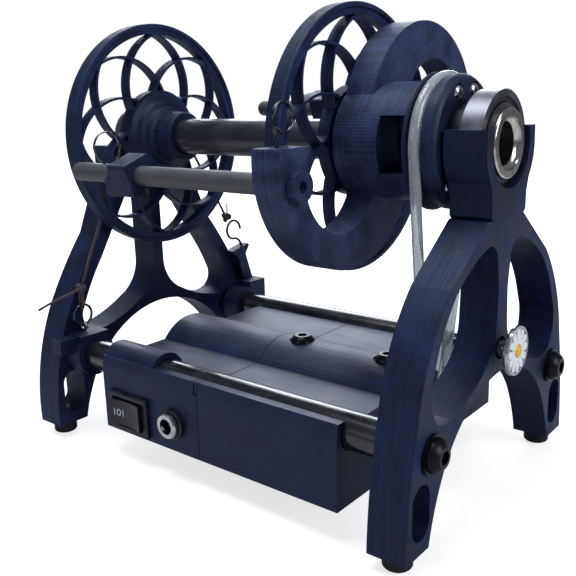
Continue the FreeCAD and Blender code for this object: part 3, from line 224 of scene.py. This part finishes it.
def shell_print(name, seam_mm):
    """The box's print: layers stacked upwards, a soft sheen, and the dark
    hairline where the two shells meet at x = seam_mm."""
    paint = Paint(name, Specular_IOR_Level=0.5, Specular_Tint=BLUISH)
    layer = paint.level(paint.noise((26, 26, 0.3), 3), 0.3, 0.7)
    blotch = paint.level(paint.noise((10, 10, 10), 4, (1, 5, 2)), 0.36, 0.68)
    grain = paint.level(paint.noise((0.4, 0.4, 0.4), 3), 0.3, 0.7)
    rake = paint.level(paint.noise((30, 0.5, 30), 2), 0.3, 0.7)
    x = paint.node("ShaderNodeSeparateXYZ", {}, {0: paint.place}, out=0)
    away = paint.maths("ABSOLUTE", x - seam_mm * MM)
    joint = 1 - paint.level(away, 0.12 * MM, 0.32 * MM)
    share = layer * 0.3 + blotch * 0.3 + grain * 0.25 + rake * 0.15
    plain = paint.between(paint.level(share, 0.22, 0.8), rgb(4, 7, 26), rgb(24, 32, 70))
    colour = paint.between(joint, plain, rgb(2, 2, 6))
    rough = 0.36 + 0.06 * blotch + 0.1 * grain + 0.08 * rake + 0.3 * joint
    paint.wear(Base_Color=colour, Roughness=rough)
    paint.bump(layer * 0.5 + rake * 0.5 + grain * 0.6 - 4 * joint, 0.06, 0.8)
    return paint.material


def ground_steel(name, axis, dark, light, shine, metal=1.0):
    """Turned or drawn metal: fine lines across an axis with faint stains."""
    paint = Paint(name, Metallic=metal)
    fine = [12.0, 12.0, 12.0]
    fine["XYZ".index(axis)] = 0.22
    line = paint.noise(fine, 3)
    stain = paint.level(paint.noise((7, 7, 7), 4, (2, 5, 8)), 0.42, 0.7)
    colour = paint.between(line * 0.6 + stain * 0.4, rgb(*dark), rgb(*light))
    paint.wear(Base_Color=colour, Roughness=shine + 0.14 * line + 0.08 * stain)
    paint.bump(line, 0.012, 0.5)
    return paint.material


def drawn_tube(name, dark, light, shine, coat=0.0):
    """A tube with long faint draw marks along X and handling smudges."""
    paint = Paint(name, Coat_Weight=coat, Coat_Roughness=0.12, Specular_IOR_Level=0.6)
    mark = paint.noise((60, 0.5, 0.5), 3)
    smudge = paint.level(paint.noise((9, 5, 5), 3, (1, 2, 3)), 0.4, 0.7)
    colour = paint.between(mark * 0.7 + smudge * 0.3, rgb(*dark), rgb(*light))
    paint.wear(Base_Color=colour, Roughness=shine + 0.12 * smudge + 0.08 * mark)
    paint.bump(mark, 0.02, 0.5)
    return paint.material


def polished(name, dark, light, shine):
    """Plated metal with faint clouds and tiny pits."""
    paint = Paint(name, Metallic=1.0)
    cloud = paint.level(paint.noise((3, 3, 3), 3), 0.35, 0.7)
    pit = paint.level(paint.noise((0.3, 0.3, 0.3), 2), 0.6, 0.75)
    colour = paint.between(cloud * 0.7 + pit * 0.3, rgb(*light), rgb(*dark))
    paint.wear(Base_Color=colour, Roughness=shine + 0.1 * cloud + 0.1 * pit)
    paint.bump(1 - pit, 0.006, 0.4)
    return paint.material


def moulded(name, dark, light, shine, grain_mm=0.4, coat=0.0):
    """Moulded plastic or rubber: a fine grain and soft handling marks."""
    paint = Paint(name, Coat_Weight=coat, Coat_Roughness=0.15)
    grain = paint.noise((grain_mm, grain_mm, grain_mm), 2)
    smudge = paint.level(paint.noise((4, 4, 4), 3), 0.4, 0.7)
    colour = paint.between(grain * 0.5 + smudge * 0.5, rgb(*dark), rgb(*light))
    paint.wear(Base_Color=colour, Roughness=shine + 0.14 * smudge)
    paint.bump(grain, 0.015, 0.5)
    return paint.material


def clear_rubber():
    """The clear belt: glassy, faintly milky, with slow swirls in it."""
    paint = Paint("clear_belt", Transmission_Weight=0.7, IOR=1.46, Specular_IOR_Level=0.8)
    swirl = paint.noise((3, 3, 14), 2)
    colour = paint.between(swirl, rgb(196, 200, 206), rgb(236, 239, 242))
    paint.wear(Base_Color=colour, Roughness=0.05 + 0.1 * swirl)
    paint.bump(swirl, 0.02, 0.4)
    return paint.material


def spun_thread():
    """Brown twisted cord: fibres along the twist."""
    paint = Paint("spun_thread", Sheen_Weight=0.4, Sheen_Roughness=0.5)
    place = paint.node("ShaderNodeUVMap", {"uv_map": "twist"})
    split = {"Scale": (140, 9, 1), "Vector": place}
    along = paint.node("ShaderNodeMapping", {}, split)
    fibre = paint.node("ShaderNodeTexNoise", {}, {"Vector": along, "Scale": 1.0})
    tuft = paint.noise((0.5, 0.5, 0.5), 3)
    colour = paint.between(fibre * 0.6 + tuft * 0.4, rgb(24, 14, 18), rgb(84, 54, 52))
    paint.wear(Base_Color=colour, Roughness=0.72 + 0.2 * tuft)
    paint.bump(fibre, 0.08, 0.8)
    return paint.material


KNOB = (0.0, 53.7)
RIM_INSIDE = 7.42
PETAL_GROOVES = 60


def petal_white():
    """Petals: white, with fine grooves that run out from the centre; their troughs are painted
    darker, as painted shade.
    """
    paint = Paint("petal_white", Coat_Weight=0.5, Coat_Roughness=0.1)
    part = []
    for letter, middle in (("Y", KNOB[0]), ("Z", KNOB[1])):
        out = "XYZ".index(letter)
        place = paint.node("ShaderNodeSeparateXYZ", {}, {0: paint.place}, out=out)
        part.append(place - middle * MM)
    angle = paint.maths("ARCTAN2", part[1], part[0])
    groove_and_shade = paint.maths("SINE", angle * PETAL_GROOVES) * 0.5 + 0.5
    cloud = paint.level(paint.noise((1.2, 1.2, 1.2), 2), 0.35, 0.7)
    # The grooves' troughs get the darker white: painted shade in the grooves.
    colour = paint.between(groove_and_shade * 0.6 + cloud * 0.4, rgb(206, 208, 214), rgb(251, 251, 250))
    paint.wear(Base_Color=colour, Roughness=0.28 + 0.15 * cloud)
    paint.bump(groove_and_shade, 0.03, 0.6)
    return paint.material


def button_face():
    """The knob's round button: a pearl face inside a bright metal rim."""
    paint = Paint("button_face", Coat_Weight=0.4, Coat_Roughness=0.08)
    far = paint.away_from_axis(*KNOB)
    rim = paint.level(far, (RIM_INSIDE - 0.04) * MM, (RIM_INSIDE + 0.04) * MM)
    cloud = paint.level(paint.noise((2, 2, 2), 3), 0.35, 0.7)
    scratch = paint.noise((0.2, 4, 4), 2)
    pearl = paint.between(cloud, rgb(150, 152, 160), rgb(214, 215, 220))
    metal = paint.between(scratch, rgb(140, 141, 146), rgb(222, 222, 226))
    colour = paint.between(rim, pearl, metal)
    paint.wear(Base_Color=colour, Metallic=rim, Roughness=0.16 + 0.16 * cloud)
    paint.bump(scratch * 0.5 + cloud * 0.5, 0.01, 0.5)
    return paint.material


def pollen():
    """The flower's centre: golden, painted a deeper gold between the florets as painted shade."""
    paint = Paint("pollen", Coat_Weight=0.4, Coat_Roughness=0.15)
    spot = paint.level(paint.noise((0.35, 0.35, 0.35), 2), 0.4, 0.65)
    # Where the florets dip, the colour turns a deeper gold: painted shade between them.
    colour = paint.between(spot, rgb(206, 148, 22), rgb(250, 214, 70))
    paint.wear(Base_Color=colour, Roughness=0.45 + 0.2 * spot)
    paint.bump(spot, 0.06, 0.6)
    return paint.material


SPINDLE = 118.0
ARM_CENTRES = ((-28, 110.5), (28, 125.5))
ROUND_SPINDLE = ((0, SPINDLE),)
SEAM = 1.0

FINISHES = {
    "frame_print": (printed("frame_print", "X"), ["frame_left", "frame_right"]),
    "cradle_print": (printed("cradle_print", "X", (3, 5, 24), (18, 26, 60)), ["bearing_cradle"]),
    # The flyer's print is painted lighter than the other navy prints: painted light standing in for
    # the stronger light on its face.
    "flyer_print_painted_lit": (printed("flyer_print_painted_lit", "X", (12, 17, 40), (58, 66, 106), 0.42, ARM_CENTRES),
                    ["flyer_body"]),
    "whorl_print": (printed("whorl_print", "X", (5, 8, 24), (26, 34, 66), 0.4, ROUND_SPINDLE),
                    ["whorl", "brake_whorl"]),
    "flange_print": (printed("flange_print", "X", (5, 9, 30), (30, 40, 84), 0.46, ROUND_SPINDLE),
                     ["flange_left", "flange_right"]),
    "clip_print": (printed("clip_print", "X", (5, 8, 26), (24, 32, 68)),
                   ["slider_front", "slider_rear", "hub_sleeve"]),
    "post_print": (printed("post_print", "Z", (4, 7, 24), (22, 30, 64)),
                   ["tension_arm", "brake_clamp"]),
    "box_print": (shell_print("box_print", SEAM), ["shell_left", "shell_right", "floor_plate"]),
    "bobbin_tube_black": (drawn_tube("bobbin_tube_black", (8, 8, 16), (36, 35, 50), 0.26, 0.3),
                          ["bobbin_tube"]),
    "rail_black": (drawn_tube("rail_black", (7, 7, 12), (22, 22, 30), 0.16, 0.5),
                   ["rail_front", "rail_rear"]),
    "rod_graphite": (drawn_tube("rod_graphite", (50, 50, 54), (84, 84, 88), 0.4),
                     ["rod_front", "rod_rear"]),
    "ring_steel": (ground_steel("ring_steel", "X", (84, 84, 92), (140, 140, 148), 0.28),
                   ["bearing_right_outer_ring", "bearing_right_inner_ring",
                    "bearing_left_outer_ring", "bearing_left_inner_ring",
                    "bearing_right_balls", "bearing_left_balls"]),
    "shaft_steel": (ground_steel("shaft_steel", "X", (110, 110, 114), (180, 180, 184), 0.26),
                    ["flyer_shaft", "motor_shaft", "knob_shaft"]),
    "sleeve_black": (moulded("sleeve_black", (7, 8, 16), (20, 22, 34), 0.36), ["spindle_sleeve"]),
    "shield_black": (moulded("shield_black", (8, 8, 10), (24, 24, 28), 0.36),
                     ["bearing_right_shields", "bearing_left_shields"]),
    "orifice_chrome": (polished("orifice_chrome", (138, 126, 112), (216, 210, 204), 0.13),
                       ["orifice_tube"]),
    "screw_chrome": (polished("screw_chrome", (130, 130, 132), (232, 232, 234), 0.12),
                     ["whorl_screws", "jack_body", "screw_eye"]),
    "screw_black": (ground_steel("screw_black", "X", (14, 14, 18), (40, 40, 46), 0.26, 0.8),
                    ["rail_screws", "rail_washers", "ridge_screws"]),
    "wire_dark": (polished("wire_dark", (30, 30, 34), (90, 90, 96), 0.16),
                  ["fixed_eye", "hook_front", "hook_rear", "s_hook", "split_ring"]),
    "nut_black": (moulded("nut_black", (8, 8, 12), (24, 24, 30), 0.28), ["jack_nut"]),
    "switch_black": (moulded("switch_black", (6, 7, 16), (20, 22, 38), 0.32),
                     ["switch_housing", "rocker_button"]),
    "bumper_rubber": (moulded("bumper_rubber", (8, 8, 10), (24, 24, 28), 0.7, 0.6),
                      ["foot_bumpers"]),
    "belt_clear": (clear_rubber(), ["drive_belt"]),
    "bush_bronze": (ground_steel("bush_bronze", "X", (150, 110, 60), (205, 168, 104), 0.3),
                    ["bobbin_bushes", "motor_pulley"]),
    "motor_zinc": (ground_steel("motor_zinc", "X", (120, 121, 124), (176, 177, 180), 0.34),
                   ["motor"]),
    "board_green": (moulded("board_green", (10, 48, 30), (22, 78, 50), 0.35),
                    ["control_board", "speed_control"]),
    "knob_button": (button_face(), ["knob_cap"]),
    "knob_pearl": (petal_white(), ["knob_petals"]),
    "knob_gold": (pollen(), ["knob_centre"]),
    "cord_brown": (spun_thread(), ["brake_cord"]),
}


def finish_nodes():
    """Gives each CAD node its finish."""
    for material, names in FINISHES.values():
        for name in names:
            mesh = nodes[name].data
            mesh.materials.clear()
            mesh.materials.append(material)


finish_nodes()


# Surfaces

def make_mesh(name, points, faces, finish, body, smooth=True):
    """A piece from arrays of points, in metres, and quads or triangles. It
    rides on the body, or is left free where body is None."""
    mesh = bpy.data.meshes.new(name)
    mesh.from_pydata(points.tolist(), [], faces.tolist())
    mesh.update()
    mesh.polygons.foreach_set("use_smooth", [smooth] * len(mesh.polygons))
    mesh.materials.append(finish)
    piece = bpy.data.objects.new(name, mesh)
    bpy.context.scene.collection.objects.link(piece)
    if body:
        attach(piece, body)
    return piece


def grid_faces(rows, columns, closed_rows=False, closed_columns=False):
    """Quads between neighbours of a rows by columns grid of points."""
    row = np.arange(rows if closed_rows else rows - 1)[:, None]
    column = np.arange(columns if closed_columns else columns - 1)[None, :]
    below = (row + 1) % rows
    beside = (column + 1) % columns
    quads = np.stack([
        row * columns + column,
        below * columns + column,
        below * columns + beside,
        row * columns + beside,
    ], axis=-1)
    return quads.reshape(-1, 4)


def give_uv(mesh, name, u, v):
    """Writes a UV map from one (u, v) for each point."""
    layer = mesh.uv_layers.new(name=name)
    corner = np.empty(len(mesh.loops), dtype=np.int32)
    mesh.loops.foreach_get("vertex_index", corner)
    pair = np.stack([u[corner], v[corner]], axis=-1)
    layer.data.foreach_set("uv", pair.astype(np.float32).ravel())


def smooth_line(route):
    """Points along the NURBS line whose control points are the route, in m."""
    curve = bpy.data.curves.new("line", "CURVE")
    curve.dimensions = "3D"
    curve.resolution_u = 10
    spline = curve.splines.new("NURBS")
    spline.points.add(len(route) - 1)
    for point, spot in zip(spline.points, route):
        point.co = (*spot, 1)
    spline.order_u = 3
    spline.use_endpoint_u = True
    holder = bpy.data.objects.new("line", curve)
    bpy.context.scene.collection.objects.link(holder)
    bpy.context.view_layer.update()
    mesh = bpy.data.meshes.new_from_object(holder)
    points = np.empty(len(mesh.vertices) * 3)
    mesh.vertices.foreach_get("co", points)
    bpy.data.meshes.remove(mesh)
    bpy.data.objects.remove(holder)
    bpy.data.curves.remove(curve)
    return points.reshape(-1, 3)


UV_LENGTH = 6


def cord_surface(name, line, radius, side, body, plies=2, lay_mm=2.6, closed=False, around=14):
    """A twisted cord: at length s and angle a its distance from the line is
    radius (0.86 + 0.14 |cos(plies (a - 2 pi s / lay) / 2)|)."""
    step = np.linalg.norm(np.diff(line, axis=0), axis=1)
    length = np.concatenate([[0], np.cumsum(step)])
    if closed:
        ahead = np.roll(line, -1, axis=0) - np.roll(line, 1, axis=0)
    else:
        ahead = np.gradient(line, axis=0)
    ahead = ahead / np.linalg.norm(ahead, axis=1)[:, None]
    across = np.cross(ahead, np.asarray(side, float))
    across = across / np.linalg.norm(across, axis=1)[:, None]
    other = np.cross(ahead, across)
    angle = np.linspace(0, 2 * math.pi, around, endpoint=False)
    turned = angle[None, :] - 2 * math.pi * length[:, None] / (lay_mm * MM)
    reach = radius * (0.86 + 0.14 * np.abs(np.cos(plies * turned / 2)))
    spread = (np.cos(angle)[None, :, None] * across[:, None, :]
              + np.sin(angle)[None, :, None] * other[:, None, :])
    points = line[:, None, :] + reach[:, :, None] * spread
    count = len(line)
    faces = grid_faces(count, around, closed, True)
    points = points.reshape(-1, 3)
    u = np.repeat(length, around)
    v = np.tile(angle, count) / (2 * math.pi)
    if not closed:
        first = count * around
        points = np.concatenate([points, line[:1], line[-1:]])
        u = np.concatenate([u, [0, length[-1]]])
        v = np.concatenate([v, [0, 0]])
    piece = make_mesh(name, points, faces, FINISHES["cord_brown"][0], body)
    if not closed:
        close_ends(piece.data, count, around, first)
    give_uv(piece.data, "twist", u / MM / UV_LENGTH, v)
    return piece


def close_ends(mesh, count, around, first):
    """Adds a fan of triangles over each end of an open tube."""
    ring = np.arange(around)
    beside = (ring + 1) % around
    start = np.stack([np.full(around, first), ring, beside], axis=-1)
    last = (count - 1) * around
    end = np.stack([np.full(around, first + 1), last + beside, last + ring], axis=-1)
    spots = np.empty(len(mesh.vertices) * 3)
    mesh.vertices.foreach_get("co", spots)
    quads = np.empty(len(mesh.loops), dtype=np.int32)
    mesh.loops.foreach_get("vertex_index", quads)
    faces = quads.reshape(-1, 4).tolist() + start.tolist() + end.tolist()
    materials = list(mesh.materials)
    mesh.clear_geometry()
    mesh.from_pydata(spots.reshape(-1, 3).tolist(), [], faces)
    mesh.polygons.foreach_set("use_smooth", [True] * len(mesh.polygons))
    for material in materials:
        if material.name not in mesh.materials:
            mesh.materials.append(material)


# The brake cord

CORD_X = -72.0
CORD_RADIUS = 0.6
WRAP = 14.6
FRONT_KNOT = (CORD_X, -43.6, 60.6)
REAR_KNOT = (CORD_X, 42.0, 77.0)
RING_X = -71.5
RING_Y = -44.4
LOOP_TOP = 60.4
LOOP_LOW = 52.35
LEAD = 7.2
CORNERS = 7


def main_route():
    """The control points of the taut cord: up from the front knot, over the
    brake whorl and down to the rear knot. The corners round the whorl lie
    on its circle's tangents, evenly turned."""
    touch = []
    for spot, side in ((FRONT_KNOT, -1), (REAR_KNOT, 1)):
        y, z = spot[1], spot[2] - SPINDLE
        touch.append(math.atan2(z, y) + side * math.acos(WRAP / math.hypot(y, z)))
    start, end = touch[0] % (2 * math.pi), touch[1] % (2 * math.pi)
    if start < end:
        start += 2 * math.pi
    half = (start - end) / CORNERS / 2
    route = [FRONT_KNOT]
    first = np.array([WRAP * math.cos(start), WRAP * math.sin(start)])
    last = np.array([WRAP * math.cos(end), WRAP * math.sin(end)])
    low = np.array([FRONT_KNOT[1], FRONT_KNOT[2] - SPINDLE])
    rear = np.array([REAR_KNOT[1], REAR_KNOT[2] - SPINDLE])
    before = first + (low - first) / np.linalg.norm(low - first) * LEAD
    after = last + (rear - last) / np.linalg.norm(rear - last) * LEAD
    route.append((CORD_X, before[0], SPINDLE + before[1]))
    for number in range(CORNERS):
        angle = start - half * (2 * number + 1)
        reach = WRAP / math.cos(half)
        route.append((CORD_X, reach * math.cos(angle), SPINDLE + reach * math.sin(angle)))
    route.append((CORD_X, after[0], SPINDLE + after[1]))
    route.append(REAR_KNOT)
    return np.array(route) * MM


def knot_line(centre, size, lean):
    """A trefoil, closed: (sin t + 2 sin 2t, cos t - 2 cos 2t, -1.2 sin 3t)."""
    t = np.linspace(0, 2 * math.pi, 90, endpoint=False)
    loop = np.stack([
        np.sin(t) + 2 * np.sin(2 * t),
        np.cos(t) - 2 * np.cos(2 * t),
        -1.2 * np.sin(3 * t),
    ], axis=-1) * (size / 2.75)
    turn = np.array(Matrix.Rotation(lean, 3, "X") @ Matrix.Rotation(0.5, 3, "Y"))
    return (loop @ turn.T + np.array(centre)) * MM


def knot_surface(name, centre, size, thick, lean, body):
    line = knot_line(centre, size, lean)
    return cord_surface(name, line, thick * MM, (0.37, 0.55, 0.75), body, closed=True)


def brake_cord():
    """The cord's runs and knots, each a twisted tube. The run is left free of any body;
    the rear knot stays with the tension arm's hook."""
    main = smooth_line(main_route())
    run = cord_surface("cord_run", main, CORD_RADIUS * MM, (1, 0, 0), None)
    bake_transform(run)
    loop_route = np.array([
        (RING_X - 0.6, RING_Y, LOOP_TOP),
        (RING_X - 1.55, RING_Y, LOOP_LOW),
        (RING_X + 1.55, RING_Y, LOOP_LOW),
        (RING_X + 0.6, RING_Y, LOOP_TOP),
    ]) * MM
    loop = smooth_line(loop_route)
    ring_loop = cord_surface("cord_ring_loop", loop, CORD_RADIUS * MM, (0, 1, 0), "base")
    tail_route = np.array([
        (CORD_X, -44, LOOP_TOP),
        (CORD_X, -50, 59),
        (CORD_X + 0.6, -57.5, 58.2),
        (CORD_X + 0.4, -64.1, 56.2),
    ]) * MM
    tail = smooth_line(tail_route)
    free_end = cord_surface("cord_tail", tail, CORD_RADIUS * 0.8 * MM, (1, 0, 0), "base")
    end_route = np.array([
        REAR_KNOT,
        (CORD_X, 43.2, 80),
        (CORD_X, 42.8, 83.5),
    ]) * MM
    end = smooth_line(end_route)
    rear_end = cord_surface("cord_rear_end", end, CORD_RADIUS * 0.6 * MM, (1, 0, 0), "tension")
    front = knot_surface("cord_front_knot", (CORD_X, -44, 60.6), 1.5, 0.62, 0.4, "base")
    rear = knot_surface("cord_rear_knot", REAR_KNOT, 1.8, 0.68, 1.1, "tension")
    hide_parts("brake_cord")


brake_cord()


# The marks on the rocker

HOLLOW = 30
HALF_WIDE = 7.9
DIP = 1.2
FACE_Y = -53.0
FACE_RISE = 2.7
MARK_HALF = 1.4
RING_AT = -4.1
BARS_AT = (-6.2, -2.0)
PLATE = 0.06
SUNK = 0.1


def rocker_marks():
    """Three raised marks, a bar, a ring and a bar, on the rocker's left
    half. They follow its hollow face: an arc of radius HOLLOW from the left
    edge to the middle line, in mm."""
    low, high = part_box("rocker_button")
    centre_x = (low[0] + high[0]) / 2
    centre_z = (low[2] + high[2]) / 2
    span = np.hypot(HALF_WIDE, DIP)
    tilt = math.atan2(DIP, HALF_WIDE)
    rise = math.sqrt(HOLLOW ** 2 - (span / 2) ** 2)
    way = np.array([math.sin(tilt), -math.cos(tilt)])
    hub = np.array([-HALF_WIDE / 2, -FACE_RISE]) + rise * way

    def face(x):
        return FACE_Y + hub[1] + np.sqrt(HOLLOW ** 2 - (x - hub[0]) ** 2)

    white = moulded("mark_white", (190, 192, 196), (232, 233, 236), 0.4)
    bar = np.array([(-0.17, -MARK_HALF), (0.17, -MARK_HALF), (0.17, MARK_HALF), (-0.17, MARK_HALF)])
    for number, across in enumerate(BARS_AT, 1):
        loop = bar + np.array([across, 0])
        lay_mark("rocker_bar_%d" % number, loop, None, face, centre_x, centre_z, white)
    t = np.linspace(0, 2 * math.pi, 40, endpoint=False)
    outer = np.stack([RING_AT + 1.0 * np.cos(t), MARK_HALF * np.sin(t)], axis=-1)
    inner = np.stack([RING_AT + 0.66 * np.cos(t), 1.04 * np.sin(t)], axis=-1)
    lay_mark("rocker_ring", outer, inner, face, centre_x, centre_z, white)


def lay_mark(name, outer, inner, face, centre_x, centre_z, finish):
    """A mark that stands PLATE mm proud of the face and reaches SUNK mm into
    it: a plate or, with an inner outline, a ring."""
    def lift(loop, proud):
        x = centre_x / MM + loop[:, 0]
        z = centre_z / MM + loop[:, 1]
        return np.stack([x, face(loop[:, 0]) - proud, z], axis=-1) * MM

    count = len(outer)
    if inner is None:
        points = np.concatenate([lift(outer, PLATE), lift(outer, -SUNK)])
        side = grid_faces(2, count, False, True)
        cap = np.array([[0, 1, 2, 3], [7, 6, 5, 4]])
        faces = np.concatenate([side, cap])
    else:
        points = np.concatenate([
            lift(outer, -SUNK), lift(outer, PLATE), lift(inner, PLATE), lift(inner, -SUNK),
        ])
        faces = grid_faces(4, count, True, True)
    piece = make_mesh(name, points, faces, finish, "rocker", smooth=False)
    turn_out(piece.data)


def turn_out(mesh):
    """Recalculates the face normals so that they point outwards."""
    work = bmesh.new()
    work.from_mesh(mesh)
    bmesh.ops.recalc_face_normals(work, faces=work.faces)
    work.to_mesh(mesh)
    work.free()


rocker_marks()


# Floor, world and lights

def backdrop():
    """A world that is white to the camera and through glass, and dim and
    bluish as light; a floor that is white to the camera, brighter far out,
    and keeps the shadow."""
    world = bpy.data.worlds.new("studio")
    bpy.context.scene.world = world
    world.use_nodes = True
    tree = world.node_tree
    tree.nodes.clear()
    out = tree.nodes.new("ShaderNodeOutputWorld")
    mix = tree.nodes.new("ShaderNodeMixShader")
    white = tree.nodes.new("ShaderNodeBackground")
    plain = tree.nodes.new("ShaderNodeBackground")
    path = tree.nodes.new("ShaderNodeLightPath")
    most = tree.nodes.new("ShaderNodeMath")
    most.operation = "MAXIMUM"
    white.inputs["Color"].default_value = (1, 1, 1, 1)
    white.inputs["Strength"].default_value = 1
    plain.inputs["Color"].default_value = (0.76, 0.84, 1, 1)
    plain.inputs["Strength"].default_value = 0.2
    tree.links.new(path.outputs["Is Camera Ray"], most.inputs[0])
    tree.links.new(path.outputs["Is Transmission Ray"], most.inputs[1])
    tree.links.new(most.outputs[0], mix.inputs[0])
    tree.links.new(plain.outputs[0], mix.inputs[1])
    tree.links.new(white.outputs[0], mix.inputs[2])
    tree.links.new(mix.outputs[0], out.inputs[0])

    floor = bpy.data.meshes.new("floor")
    floor.from_pydata([(-3, -3, 0), (3, -3, 0), (3, 3, 0), (-3, 3, 0)], [], [(0, 1, 2, 3)])
    sheet = bpy.data.objects.new("floor", floor)
    bpy.context.scene.collection.objects.link(sheet)
    sheet.location = (0, 0, -0.0002)
    paint = Paint("floor_white", Roughness=0.9, Base_Color=(0.5, 0.5, 0.5, 1),
                  Specular_IOR_Level=0.1, Emission_Strength=1.0)
    ray = paint.node("ShaderNodeLightPath", out="Is Camera Ray")
    far = paint.vector("LENGTH", paint.place, out="Value")
    glow = ray * (paint.level(far, 0.16, 0.45) * 0.4 + 0.72)
    paint.feed(paint.shader.inputs["Emission Color"], glow)
    floor.materials.append(paint.material)


def lamp(name, spot, wide, tall, watts, tint=(0.9, 0.95, 1)):
    """A soft rectangular lamp at spot, turned to the middle of the object."""
    data = bpy.data.lights.new(name, "AREA")
    data.shape = "RECTANGLE"
    data.size = wide
    data.size_y = tall
    data.energy = watts
    data.color = tint
    light = bpy.data.objects.new(name, data)
    bpy.context.scene.collection.objects.link(light)
    light.location = spot
    way = Vector((0, 0, 0.08)) - Vector(spot)
    light.rotation_euler = way.to_track_quat("-Z", "Y").to_euler()


backdrop()
lamp("key", (-0.1, -0.1, 0.9), 0.5, 0.5, 6.5)
lamp("right_fill", (0.75, 0.0, 0.5), 0.4, 0.5, 4.2)
lamp("back_sheen", (-0.6, 0.72, 0.5), 0.9, 0.5, 7.5)
lamp("front_fill", (-0.1, -0.8, 0.35), 0.5, 0.3, 0.8)

bpy.context.scene.view_settings.view_transform = "Standard"
